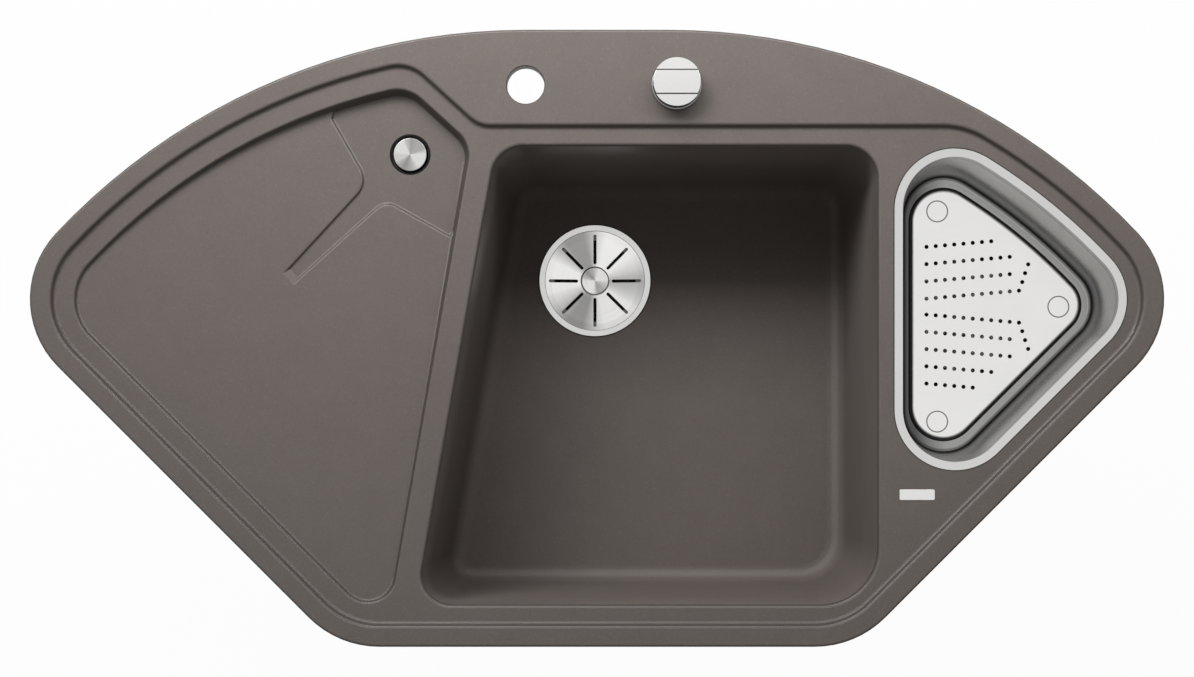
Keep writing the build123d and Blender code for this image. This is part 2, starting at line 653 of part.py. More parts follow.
def control_housing(place):
    """Cup under the ledge that holds the cable drum, with a square arm for the gland."""
    x, y = KNOB
    arm = place * Pos(HOUSING_R + 3, 0, 0)
    shape = disc(x, y, HOUSING_FOOT, HOUSING_TOP, HOUSING_R) + arm * Box(*HOUSING_ARM)
    shape -= disc(x, y, HOUSING_FOOT + 3, SLEEVE_FOOT, HOUSING_BORE_R)
    shape -= disc(x, y, SLEEVE_FOOT - 1, HOUSING_TOP + 1, SLEEVE_R + 0.1)
    return shape - arm * Rot(0, 90, 0) * Cylinder(GLAND_R, 20)


def cable_gland():
    """Threaded gland with a bore for the control cable, along local X."""
    shape = Pos(-GLAND_THREAD / 2, 0, 0) * Rot(0, 90, 0) * Cylinder(GLAND_R, GLAND_THREAD)
    nut = extrude(RegularPolygon(GLAND_NUT_R, 6), GLAND_NUT_LENGTH)
    return shape + Rot(0, 90, 0) * nut - Rot(0, 90, 0) * Cylinder(GLAND_BORE_R, 60)


def rotary_control():
    """Everything on and under the tap ledge that belongs to the pop-up control."""
    x, y = KNOB
    write("knob_grip", knob_grip())
    collar = fillet(edges_at(disc(x, y, COLLAR_BOTTOM, COLLAR_TOP, COLLAR_R), COLLAR_TOP), 0.8)
    collar += disc(x, y, SLEEVE_FOOT, COLLAR_TOP - 1, SLEEVE_R)
    write("knob_base_ring", collar - disc(x, y, SLEEVE_FOOT - 1, COLLAR_TOP + 1, SLEEVE_BORE_R))
    write("knob_seal", ring(x, y, RIM_TOP, COLLAR_BOTTOM, TAP_HOLE_R, COLLAR_R - 0.7))
    bush_bore = SPINDLE_R + RUNNING
    write("knob_bush", ring(x, y, BUSH_FOOT, BUSH_TOP, bush_bore, SLEEVE_BORE_R - RUNNING))
    spindle = disc(x, y, SPINDLE_FOOT, KNOB_TOP - KNOB_CROWN, SPINDLE_R)
    spindle += disc(x, y, BUSH_FOOT - DRUM_FLANGE, BUSH_FOOT - 0.3, SPINDLE_STOP_R)
    write("knob_spindle", spindle)
    drum_foot = CABLE_Z - DRUM_HEIGHT / 2
    drum = ring(x, y, drum_foot, drum_foot + DRUM_HEIGHT, SPINDLE_R, DRUM_R)
    drum -= ring(x, y, drum_foot + DRUM_FLANGE, drum_foot + DRUM_HEIGHT - DRUM_FLANGE,
                 DRUM_GROOVE_R, DRUM_R + 1)
    write("cable_drum", drum)
    inner, outer, thick = LOCK_WASHER
    write("knob_washer", ring(x, y, DECK_UNDER - thick, DECK_UNDER, inner, outer))
    nut = extrude(RegularPolygon(LOCK_NUT_R, 6), LOCK_NUT_HEIGHT) - Cylinder(SLEEVE_R, 3 * LOCK_NUT_HEIGHT)
    write("knob_lock_nut", Pos(x, y, DECK_UNDER - thick - LOCK_NUT_HEIGHT) * nut)
    aim = math.degrees(math.atan2(MAIN_WASTE[1] - y, MAIN_WASTE[0] - x))
    place = Pos(x, y, CABLE_Z) * Rot(0, 0, aim)
    write("knob_housing", control_housing(place))
    write("control_cable_gland", place * Pos(HOUSING_R + 3 + HOUSING_ARM[0] / 2, 0, 0) * cable_gland())


# --- wastes -------------------------------------------------------------------------

def waste_top(prefix, centre, level):
    """Pressed flange and lock nut of one waste."""
    x, y = centre
    step_r, wall_r = FLANGE_BORE_R + FLANGE_SHEET, NECK_R - NECK_SHEET
    shelf = PLUG_SHELF_DEPTH
    profile = [(FLANGE_BORE_R, -FLANGE_SUNK), (FLANGE_R - 0.8, -FLANGE_SUNK),
               (FLANGE_R, -FLANGE_SUNK - 0.8), (FLANGE_R, -FLANGE_LIP), (step_r, -FLANGE_LIP),
               (step_r, -FLANGE_STEP), (NECK_R, -FLANGE_STEP), (NECK_R, -NECK_DEPTH),
               (wall_r, -NECK_DEPTH), (wall_r, -shelf - NECK_SHEET),
               (PLUG_SHELF_R, -shelf - NECK_SHEET), (PLUG_SHELF_R, -shelf), (wall_r, -shelf),
               (wall_r, FLANGE_SHEET - FLANGE_STEP), (FLANGE_BORE_R, FLANGE_SHEET - FLANGE_STEP)]
    write(prefix + "_waste_flange", turned(x, y, [(r, level + z) for r, z in profile]))
    gasket_foot = level - BOSS_DEPTH - GASKET_THICKNESS
    nut_foot = gasket_foot - WASTE_NUT_HEIGHT
    nut = ring(x, y, nut_foot, gasket_foot, NECK_R, WASTE_NUT_R)
    notch = Pos(WASTE_NUT_R, 0, 0) * Box(*WASTE_NUT_NOTCH, 3 * WASTE_NUT_HEIGHT)
    for k in range(6):
        nut -= Pos(x, y, nut_foot) * Rot(0, 0, 60 * k) * notch
    write(prefix + "_waste_nut", nut)


def waste_rings():
    """The seals under both flanges and the gaskets under both bowls."""
    seals, gaskets = [], []
    for centre, level in ((MAIN_WASTE, BOWL_FLOOR), (SIDE_WASTE, SIDE_BOWL_FLOOR)):
        step = level - FLANGE_STEP
        bore, outside = NECK_R + 1.5, FLANGE_BORE_R + FLANGE_SHEET
        seals.append(ring(*centre, step - SEAL_THICKNESS, step, bore, outside))
        under = level - BOSS_DEPTH
        gaskets.append(ring(*centre, under - GASKET_THICKNESS, under, NECK_R + 0.3, GASKET_R))
    write("waste_seals", group(seals))
    write("waste_gaskets", group(gaskets))


def strainer(prefix, centre, level):
    """Slotted dish, centre button, plug and its rubber seal."""
    x, y = centre
    edge, low = level - STRAINER_EDGE, level - STRAINER_EDGE - STRAINER_DISH
    hub, bend, sheet = BUTTON_R + 1.2, STRAINER_R - 6, STRAINER_SHEET
    plate = turned(x, y, [(0.0, low), (hub, low), (bend, edge - 0.9), (STRAINER_R, edge),
                          (STRAINER_R, edge - sheet), (bend, edge - 0.9 - sheet),
                          (hub, low - sheet), (0.0, low - sheet)])
    slot = extrude(SlotOverall(SLOT_END - SLOT_START, SLOT_WIDTH), 20, both=True)
    for k in range(SLOT_COUNT):
        turn = Rot(0, 0, 360 / SLOT_COUNT * k)
        plate -= Pos(x, y, level) * turn * Pos((SLOT_START + SLOT_END) / 2, 0, 0) * slot
    stem = disc(x, y, low - STEM_LENGTH, low, STEM_R)
    write(prefix + "_strainer", plate - stem)
    top = low + BUTTON_HEIGHT
    button = fillet(edges_at(disc(x, y, low, top, BUTTON_R), top), 1.8)
    write(prefix + "_strainer_button", button + stem)
    foot = low - PLUG_DROP
    plug = disc(x, y, foot, low - sheet, PLUG_STEM_R) + disc(x, y, foot, foot + PLUG_THICKNESS, PLUG_R)
    socket = disc(x, y, foot - 1, foot + PLUG_SOCKET - 1, PIN_R + 0.15)
    write(prefix + "_plug", plug - stem - socket)
    write(prefix + "_plug_seal", ring(x, y, foot + 0.5, foot + 3.0, PLUG_R, PLUG_SEAL_R))


def side_spigot(x, y, z, azimuth, start, end):
    """Horizontal hose spigot with two barbs, and its bore."""
    place = Pos(x, y, z) * Rot(0, 0, azimuth) * Rot(0, 90, 0)
    middle = (start + end) / 2
    tube = Pos(0, 0, middle) * Cylinder(HOSE_R, end - start)
    barb = Cone(BARB_R, HOSE_R, BARB_LENGTH, align=(Align.CENTER, Align.CENTER, Align.MIN))
    for k in range(2):
        tube += Pos(0, 0, end - BARB_LENGTH - 1 - BARB_PITCH * k) * barb
    return place * tube, place * Pos(0, 0, middle) * Cylinder(HOSE_BORE_R, end - start + 20)


def cup(x, y, top, floor, end):
    """Plastic cup under a waste, with a conical floor and a spigot; outside and inside."""
    outer = [(0, end), (PIPE_R, end), (PIPE_R, floor - CUP_CONE), (CUP_R, floor), (CUP_R, top),
             (0, top)]
    bore, wall_r = PIPE_R - PIPE_WALL, NECK_R + 0.2
    inner = [(0, end - 1), (bore, end - 1), (bore, floor - CUP_CONE + 3), (wall_r, floor + 3),
             (wall_r, top + 1), (0, top + 1)]
    return turned(x, y, outer), turned(x, y, inner)


def main_waste_body():
    """Cup of the main waste: hose spigot, pin guide and a box for the lift lever."""
    x, y = MAIN_WASTE
    end = MAIN_CUP_FLOOR - SPIGOT_DROP
    outer, inner = cup(x, y, BOWL_FLOOR - CUP_DROP, MAIN_CUP_FLOOR, end)
    aim = math.degrees(math.atan2(OVERFLOW[1] - y, OVERFLOW[0] - x))
    tube, bore = side_spigot(x, y, BOWL_FLOOR - WASTE_SPIGOT_DROP, aim, *WASTE_SPIGOT)
    length, width, height = LEVER_BOX
    pivot = Pos(x + LEVER_ARM, y, LEVER_PIVOT_Z)
    body = outer + tube + pivot * Pos(3, 0, -6) * Box(length, width, height) - inner - bore
    room = Box(length - 2 * LEVER_BOX_WALL, width - 2 * LEVER_BOX_WALL, height - 2 * LEVER_BOX_WALL)
    body -= pivot * Pos(3.5, 0, -6) * room
    body -= pivot * Pos(CUP_R - 2 - LEVER_ARM, 0, -1.5) * Box(*LEVER_WINDOW)
    body -= pivot * Rot(90, 0, 0) * Cylinder(LEVER_PIN_R, 40)
    out, up = LEVER_GLAND
    body -= pivot * Pos(out, 0, up) * Rot(0, 90, 0) * Cylinder(GLAND_R, 8)
    low = LEVER_PIVOT_Z + GUIDE_RISE
    guide = disc(x, y, low, low + GUIDE_HEIGHT, GUIDE_R)
    spoke = Pos((GUIDE_R + NECK_R) / 2, 0, 0) * Box(NECK_R - GUIDE_R + 3, 3, GUIDE_HEIGHT)
    for k in range(3):
        guide += Pos(x, y, low + GUIDE_HEIGHT / 2) * Rot(0, 0, 120 * k + 60) * spoke
    return body + guide - disc(x, y, low - 1, low + GUIDE_HEIGHT + 1, PIN_R + RUNNING)


def lift_linkage():
    """Lift pin under the main plug, its lever, the lever's pivot pin and cable gland."""
    x, y = MAIN_WASTE
    plug_foot = BOWL_FLOOR - STRAINER_EDGE - STRAINER_DISH - PLUG_DROP
    tilt = math.degrees(math.asin(LEVER_LIFT / 2 / LEVER_ARM))
    pin_foot = LEVER_PIVOT_Z - LEVER_LIFT / 2 + 1.8
    write("main_lift_pin", disc(x, y, pin_foot, plug_foot + PLUG_SOCKET - 1.3, PIN_R))
    arm = Pos(-LEVER_ARM / 2, 0, 0) * Box(LEVER_ARM, 5, 3)
    arm += Pos(-LEVER_ARM, 0, 0) * Rot(90, 0, 0) * Cylinder(1.5, 5)
    arm += Rot(90, 0, 0) * Cylinder(4.0, 9) + Pos(0, 0, -8) * Box(4, 5, 14)
    arm -= Rot(90, 0, 0) * Cylinder(LEVER_PIN_R + RUNNING, 20)
    arm -= Pos(0, 0, -12.5) * Rot(90, 0, 0) * Cylinder(1.0, 20)
    pivot = Pos(x + LEVER_ARM, y, LEVER_PIVOT_Z)
    write("main_lift_lever", pivot * Rot(0, -tilt, 0) * arm)
    write("main_lever_pin", pivot * Rot(90, 0, 0) * Cylinder(LEVER_PIN_R, LEVER_BOX[1]))
    out, up = LEVER_GLAND
    write("waste_cable_gland", pivot * Pos(out, 0, up) * cable_gland())


def side_waste_body():
    """Cup of the side bowl's waste."""
    end = SIDE_CUP_FLOOR - SPIGOT_DROP
    outer, inner = cup(*SIDE_WASTE, SIDE_BOWL_FLOOR - CUP_DROP, SIDE_CUP_FLOOR, end)
    return outer - inner


# --- pipework -----------------------------------------------------------------------

def drain_run():
    """Distance and direction from the main waste to the side waste."""
    dx, dy = SIDE_WASTE[0] - MAIN_WASTE[0], SIDE_WASTE[1] - MAIN_WASTE[1]
    return math.hypot(dx, dy), math.degrees(math.atan2(dy, dx))


def socket_pair(place):
    """Outside and bore of a pipe socket whose mouth is at the place, facing local +Z."""
    wall = PIPE_R + SOCKET_WALL
    down = (Align.CENTER, Align.CENTER, Align.MAX)
    return (place * Cylinder(wall, SOCKET_DEPTH + 3, align=down),
            place * Cylinder(PIPE_R + 0.2, SOCKET_DEPTH, align=down))


def slip_joint(place):
    """Slip nut and seal ring at a socket's mouth."""
    wall = PIPE_R + SOCKET_WALL
    under, over = SLIP_NUT
    seal = place * ring(0, 0, 0, SLIP_SEAL, PIPE_R + RUNNING, wall - 0.5)
    nut = ring(0, 0, -under, over, PIPE_R + 0.3, wall + 3.5)
    nut -= disc(0, 0, -under - 1, SLIP_SEAL, wall + 0.1)
    for k in range(SLIP_RIBS):
        nut += Rot(0, 0, 360 / SLIP_RIBS * k) * Pos(wall + 3.8, 0, (over - under) / 2) * Box(*SLIP_RIB)
    return place * nut, seal


def socket_level(cup_floor):
    """Height of the upright socket's mouth under a cup."""
    return cup_floor - SPIGOT_DROP + SPIGOT_INSERT


def joint_places():
    """The four socket mouths: two upright, two along the link pipe."""
    turn = Rot(0, 0, drain_run()[1])
    main, side = Pos(*MAIN_WASTE, 0), Pos(*SIDE_WASTE, 0)
    return [main * Pos(0, 0, socket_level(MAIN_CUP_FLOOR)),
            side * Pos(0, 0, socket_level(SIDE_CUP_FLOOR)),
            main * turn * Pos(TEE_REACH, 0, DRAIN_Z) * Rot(0, 90, 0),
            side * turn * Pos(-BEND_REACH, 0, DRAIN_Z) * Rot(0, -90, 0)]


def drain_tee(mouths):
    """Tee under the main waste with a branch to the side bowl and a threaded outlet."""
    x, y = MAIN_WASTE
    bore = PIPE_R - PIPE_WALL
    top = socket_level(MAIN_CUP_FLOOR) - SOCKET_DEPTH
    across = Pos(x, y, DRAIN_Z) * Rot(0, 0, drain_run()[1]) * Rot(0, 90, 0)
    half = (Align.CENTER, Align.CENTER, Align.MIN)
    foot = DRAIN_Z - OUTLET_FOOT
    shoulder = foot + OUTLET_LENGTH
    outer = disc(x, y, shoulder, top, FITTING_R) + disc(x, y, foot, shoulder, OUTLET_R)
    outer += disc(x, y, shoulder, shoulder + 2, OUTLET_R + 3)
    outer += across * Cylinder(FITTING_R, TEE_REACH - SOCKET_DEPTH, align=half)
    inner = disc(x, y, foot - 1, top + 2, bore) + across * Cylinder(bore, TEE_REACH, align=half)
    for mouth in (mouths[0], mouths[2]):
        wall, hole = socket_pair(mouth)
        outer += wall
        inner += hole
    return outer - inner


def drain_bend(mouths):
    """Swept bend from the side waste to the link pipe."""
    top = socket_level(SIDE_CUP_FLOOR)
    place = Pos(*SIDE_WASTE, 0) * Rot(0, 0, drain_run()[1])
    ends = [(0, 0, top - SOCKET_DEPTH), (0, 0, DRAIN_Z), (SOCKET_DEPTH - BEND_REACH, 0, DRAIN_Z)]
    longer = [(0, 0, top - 5), (0, 0, DRAIN_Z), (5 - BEND_REACH, 0, DRAIN_Z)]
    outer = place * sweep(Plane(ends[0]) * Circle(FITTING_R), FilletPolyline(*ends, radius=BEND_R))
    bore = Circle(PIPE_R - PIPE_WALL)
    inner = place * sweep(Plane(longer[0]) * bore, FilletPolyline(*longer, radius=BEND_R))
    for mouth in (mouths[1], mouths[3]):
        wall, hole = socket_pair(mouth)
        outer += wall
        inner += hole
    return outer - inner


def pipework():
    """The rigid pipes that join both wastes above the trap."""
    mouths = joint_places()
    run, angle = drain_run()
    write("drain_tee", drain_tee(mouths))
    write("drain_bend", drain_bend(mouths))
    inserted = SOCKET_DEPTH - 2
    length = run - TEE_REACH - BEND_REACH + 2 * inserted
    middle = Pos(TEE_REACH - inserted + length / 2, 0, 0)
    pipe = Cylinder(PIPE_R, length) - Cylinder(PIPE_R - PIPE_WALL, length + 2)
    write("link_pipe", Pos(*MAIN_WASTE, DRAIN_Z) * Rot(0, 0, angle) * middle * Rot(0, 90, 0) * pipe)
    joints = [slip_joint(mouth) for mouth in mouths]
    write("slip_nuts", group([nut for nut, seal in joints]))
    write("slip_seals", group([seal for nut, seal in joints]))


# --- drainer outlet -----------------------------------------------------------------

def overflow_spider():
    """Ring in the outlet hole with a screwed hub on three arms."""
    x, y = OVERFLOW
    lip = OVERFLOW_LIP_Z
    length, width, thick = SPIDER_ARM
    spider = ring(x, y, lip, lip + OVERFLOW_CAP_RISE + 0.2, SPIDER_R, OVERFLOW_HOLE_R - 0.2)
    spider += disc(x, y, lip, lip + SPIDER_HUB_HEIGHT, SPIDER_HUB_R)
    for k in range(3):
        arm = Pos(SPIDER_HUB_R + length / 2 - 0.5, 0, thick / 2) * Box(length, width, thick)
        spider += Pos(x, y, lip) * Rot(0, 0, 120 * k + 30) * arm
    head_r, head_under, _ = OVERFLOW_HEAD
    spider -= disc(x, y, lip - 1, lip + SPIDER_HUB_HEIGHT + 1, OVERFLOW_SCREW_R)
    return spider - disc(x, y, lip + head_under, lip + SPIDER_HUB_HEIGHT + 1, head_r + 0.1)


def overflow_body():
    """Cup under the outlet with a screwed pillar and a hose spigot."""
    x, y = OVERFLOW
    inner, outer, thick = OVERFLOW_GASKET
    top = OVERFLOW_BOSS_Z - thick
    foot = OVERFLOW_BOSS_Z - OVERFLOW_CUP_DEPTH
    aim = math.degrees(math.atan2(MAIN_WASTE[1] - y, MAIN_WASTE[0] - x))
    tube, bore = side_spigot(x, y, OVERFLOW_BOSS_Z - 20, aim, *OVERFLOW_SPIGOT)
    body = disc(x, y, foot, top, OVERFLOW_CUP_R) + disc(x, y, top - 3, top, outer) + tube
    body -= disc(x, y, foot + 2.5, top + 1, OVERFLOW_CUP_BORE_R)
    body -= bore - disc(x, y, foot - 5, top, OVERFLOW_CUP_BORE_R - 4.5)
    body += disc(x, y, foot + 2, top - 10, OVERFLOW_PILLAR_R)
    return body - disc(x, y, top - 20, top, OVERFLOW_SCREW_R)


def overflow():
    """Drainer outlet and overflow: steel cap, spider, screw, gasket and hose cup."""
    x, y = OVERFLOW
    lip, under = OVERFLOW_LIP_Z, OVERFLOW_BOSS_Z
    cap_under = lip + OVERFLOW_CAP_RISE
    cap_top = cap_under + OVERFLOW_CAP_THICKNESS
    cap = fillet(edges_at(disc(x, y, cap_under, cap_top, OVERFLOW_CAP_R), cap_top), 0.6)
    write("overflow_cap", cap)
    skirt = CAP_SOCKET_R + 1.6
    clip = disc(x, y, cap_under - 1.5, cap_under, CAP_CLIP_R)
    clip += disc(x, y, cap_under - 3.3, cap_under - 1.5, skirt)
    write("overflow_cap_clip", clip - disc(x, y, lip + 1, cap_under - 1.5, CAP_SOCKET_R))
    write("overflow_spider", overflow_spider())
    head_r, head_under, head_top = OVERFLOW_HEAD
    head = disc(x, y, lip + head_under, lip + head_top, head_r)
    head -= Pos(x, y, lip + head_top) * Box(5, 0.9, 1.4)
    write("overflow_screw", head + disc(x, y, under - 20, lip + head_under, OVERFLOW_SCREW_R))
    inner, outer, thick = OVERFLOW_GASKET
    write("overflow_gasket", ring(x, y, under - thick, under, inner, outer))
    write("overflow_body", overflow_body())


# --- tray and badge -----------------------------------------------------------------

def tray_holes():
    """Centres of the drain holes: fanned rows and a short column at each row end."""
    slope = math.tan(math.radians(TRAY_ROW_TILT))
    centres = []
    for row_offset, count in TRAY_ROWS:
        lean = math.copysign(slope, row_offset)
        for k in range(count):
            run = TRAY_HOLE_PITCH * k
            centres.append((TRAY_HOLE_X + run, TRAY_HOLE_MID_Y + row_offset + lean * run))
    for x, rise in TRAY_END_HOLES:
        centres += [(x, TRAY_HOLE_MID_Y + rise), (x, TRAY_HOLE_MID_Y - rise)]
    return centres


def plateau(inset, bottom, top):
    """The raised middle of the tray's floor as a block with sloping sides."""
    low = tray_face(TRAY_PLATEAU_INSET + inset, TRAY_PLATEAU_OFFSET)
    high = tray_face(TRAY_PLATEAU_INSET + TRAY_PLATEAU_SLOPE + inset, TRAY_PLATEAU_OFFSET)
    return frustum(high, low, top, bottom)


def tray_pan():
    """Pressed steel pan: flat rim, sloping wall, raised and perforated floor."""
    seat = TERRACE_TOP - TRAY_REBATE
    bottom = RIM_TOP - TRAY_DEPTH
    wall = TRAY_RIM_WIDTH - 0.7
    foot = wall + TRAY_DRAFT
    outer = fillet(lowest_edges(frustum(tray_face(wall), tray_face(foot), seat, bottom)), TRAY_FLOOR_R)
    rim = slab(tray_face(), seat, seat + TRAY_RIM_THICKNESS)
    rim = fillet(edges_at(rim, seat + TRAY_RIM_THICKNESS), 0.7)
    sheet = TRAY_SHEET
    inner = frustum(tray_face(wall + sheet), tray_face(foot + sheet), seat + 3, bottom + sheet)
    pan = rim + outer - fillet(lowest_edges(inner), TRAY_FLOOR_R - sheet)
    top = bottom + TRAY_PLATEAU_RISE + sheet
    pan += fillet(edges_at(plateau(0, bottom, top), top), TRAY_PLATEAU_R)
    hollow = plateau(sheet * 1.2, bottom, top - sheet)
    pan -= fillet(edges_at(hollow, top - sheet), TRAY_PLATEAU_R - sheet)
    half, deep = TRAY_FOOT_GROOVE
    for x, y in TRAY_FEET:
        pan -= ring(x, y, top - deep, top + 1, TRAY_FOOT_R - half, TRAY_FOOT_R + half)
    holes = Sketch() + [Pos(x, y) * Circle(TRAY_HOLE_R) for x, y in tray_holes()]
    return pan - slab(holes, bottom - 1, top + 1)


def tray():
    """The lift-out pan and the three feet that it stands on out of the sink."""
    write("tray_pan", tray_pan())
    top = RIM_TOP - TRAY_DEPTH + TRAY_PLATEAU_RISE
    feet = [disc(x, y, top - TRAY_FOOT_HEIGHT - 2, top, TRAY_FOOT_R - 2) for x, y in TRAY_FEET]
    write("tray_feet", group([fillet(lowest_edges(foot), 1.5) for foot in feet]))


def badge_plate():
    """Bare plate set in the deck in front of the tray."""
    length, width, thick = BADGE_SIZE
    plate = extrude(RectangleRounded(length, width, 1.5), thick)
    return Pos(*BADGE, TERRACE_TOP - BADGE_SUNK) * fillet(edges_at(plate, thick), 0.25)


def clips():
    """Brackets, screws and claws that pull the rim down on the worktop."""
    places = clip_places()
    write("clip_brackets", group([clip_bracket(*place) for place in places]))
    for number, (x, y, angle) in enumerate(places, 1):
        write("clip_screw_" + str(number), clip_screw(x, y))
        write("clip_claw_" + str(number), clip_claw(x, y, angle))


def main():
    sink_parts()
    write("badge_plate", badge_plate())
    rotary_control()
    for prefix, centre, level in (("main", MAIN_WASTE, BOWL_FLOOR),
                                  ("side", SIDE_WASTE, SIDE_BOWL_FLOOR)):
        waste_top(prefix, centre, level)
        strainer(prefix, centre, level)
    waste_rings()
    write("main_waste_body", main_waste_body())
    write("side_waste_body", side_waste_body())
    lift_linkage()
    pipework()
    overflow()
    tray()
    clips()


if __name__ == "__main__":
    main()
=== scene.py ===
"""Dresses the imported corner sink: composite, steel, plastics, threads and ribs, and its studio."""

import math

import bpy
from bpy.props import FloatProperty, FloatVectorProperty, IntProperty, PointerProperty
from mathutils import Matrix, Vector


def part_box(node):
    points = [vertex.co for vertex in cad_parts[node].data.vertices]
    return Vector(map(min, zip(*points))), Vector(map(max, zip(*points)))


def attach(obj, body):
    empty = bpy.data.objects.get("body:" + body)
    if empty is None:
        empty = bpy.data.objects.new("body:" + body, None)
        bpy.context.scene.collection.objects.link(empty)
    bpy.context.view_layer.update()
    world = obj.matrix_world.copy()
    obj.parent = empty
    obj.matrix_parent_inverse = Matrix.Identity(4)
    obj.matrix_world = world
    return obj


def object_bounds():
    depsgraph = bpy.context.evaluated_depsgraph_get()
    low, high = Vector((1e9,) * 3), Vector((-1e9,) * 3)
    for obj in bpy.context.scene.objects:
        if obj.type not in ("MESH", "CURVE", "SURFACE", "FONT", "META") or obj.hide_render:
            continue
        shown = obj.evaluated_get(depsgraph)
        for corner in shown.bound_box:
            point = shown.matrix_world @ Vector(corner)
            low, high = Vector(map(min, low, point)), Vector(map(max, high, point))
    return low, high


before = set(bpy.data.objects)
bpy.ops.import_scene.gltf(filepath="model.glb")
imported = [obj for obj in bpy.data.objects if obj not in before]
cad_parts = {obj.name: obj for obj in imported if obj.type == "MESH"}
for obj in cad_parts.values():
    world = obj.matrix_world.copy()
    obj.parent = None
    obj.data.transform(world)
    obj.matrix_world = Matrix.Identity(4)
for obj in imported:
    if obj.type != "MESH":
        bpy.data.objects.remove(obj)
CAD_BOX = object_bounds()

bl_info = {
    "name": "Corner sink",
    "version": (1, 0, 0),
    "blender": (4, 5, 0),
    "location": "View3D > Sidebar > Sink",
    "description": "Finishes, fittings and studio for a corner kitchen sink",
    "category": "Object",
}


# --- places, in metres, taken from the frame ------------------------------------------

def middle(node):
    """The centre of a CAD node's box."""
    low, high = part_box(node)
    return (low + high) / 2


MAIN_WASTE = middle("main_strainer")
SIDE_WASTE = middle("side_strainer")
OUTLET = middle("overflow_cap")
RIM_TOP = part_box("sink_deck")[1].z
FLOOR = CAD_BOX[0][2] - 0.0005
CLIPS = range(1, 7)

# The deck's painted highlights and painted shade fade out, and the bowls' inside fades in, between
# these heights.
DECK_PAINTED_LIGHT = (-0.012, -0.008)
BOWL_INSIDE = (-0.012, -0.050)

# Painted shade darkens the wall of the tap hole between these distances from its axis.
TAP_HOLE = (-0.0665, 0.2358)
TAP_BORE = (0.0200, 0.0185)

# Heights over the tray's lowest point, where painted shade darkens the walls, banks and gully.
TRAY_WALL_SHADE = (0.0240, 0.0060)
TRAY_BANK = (0.0064, 0.0058)
TRAY_GULLY = (0.0048, 0.0024)

# Depths under the tray's rim, and distances from its left side, for painted shade at the rim, on a
# line down the walls, and in the gully, darkest on the left.
TRAY_RIM = (0.003, 0.001)
TRAY_LINE = 0.0062
TRAY_LINE_EDGE = (0.0011, 0.0005)
TRAY_DARK_SIDE = (0.060, 0.030)

# Painted dark rings over the tray's feet: their centres, radius, and far and near edge.
TRAY_FEET = ((0.3277, 0.1268), (0.4446, 0.0348), (0.3277, -0.0760))
TRAY_FOOT_RING = 0.010
TRAY_RING_EDGE = (0.0008, 0.0003)

# Depths under the top of a waste's flange and of the knob, below which painted shade darkens the
# steel.
FLANGE_NECK = (0.0015, 0.0050)
KNOB_WING_DROP = 0.0011

CUP_RIB_RADIUS = 0.0485
CUP_RIB_HEIGHT = 0.024
CUP_RIB_DROP = 0.016

OUTLET_THREAD_RADIUS = 0.0236
OUTLET_THREAD_HEIGHT = 0.0145
OUTLET_THREAD_RIDGE = 0.0008

SCREW_THREAD_TOP = -0.0232
SCREW_THREAD_RADIUS = 0.0024
SCREW_THREAD_RIDGE = 0.00035

FLOOR_REACH = 12.0
KEY_LIGHT = ((-0.95, 1.55, 1.45), (0.0, 0.05, 0.0), (1.6, 1.1))
LEDGE_LIGHT = ((0.06, 0.62, 0.50), (0.06, 0.2, 0.0), (1.2, 0.25))
SKY_LIT = ("tray_pan", "main_waste_flange", "main_strainer")

# The dome that glossy rays see: its least brightness, and what it gains over each stretch
# of a ray's rise.
DOME_BASE = 0.40
DOME_BANDS = ((0.885, 0.955, 0.54), (0.70, 0.86, 0.18), (0.60, 0.30, 0.38))

# The even light changes from the sky's strength to the horizon's over this stretch of rise.
LOW_SKY = (0.35, 0.10)

CAMERA_X = 0.0126
CAMERA_Y = -0.123
LENS = 64.79
SENSOR_WIDTH = 36.0
LENS_SHIFT = (-0.01134, 0.1104)

TINY = 1e-9


# --- sizes and colours that a user would change ----------------------------------------

def colour(name, description, value):
    """A colour property, linear."""
    return FloatVectorProperty(name=name, description=description, subtype="COLOR", size=3,
                               min=0, max=1, default=value)


def length(name, description, value):
    """A length property in metres."""
    return FloatProperty(name=name, description=description, unit="LENGTH", min=0, default=value)


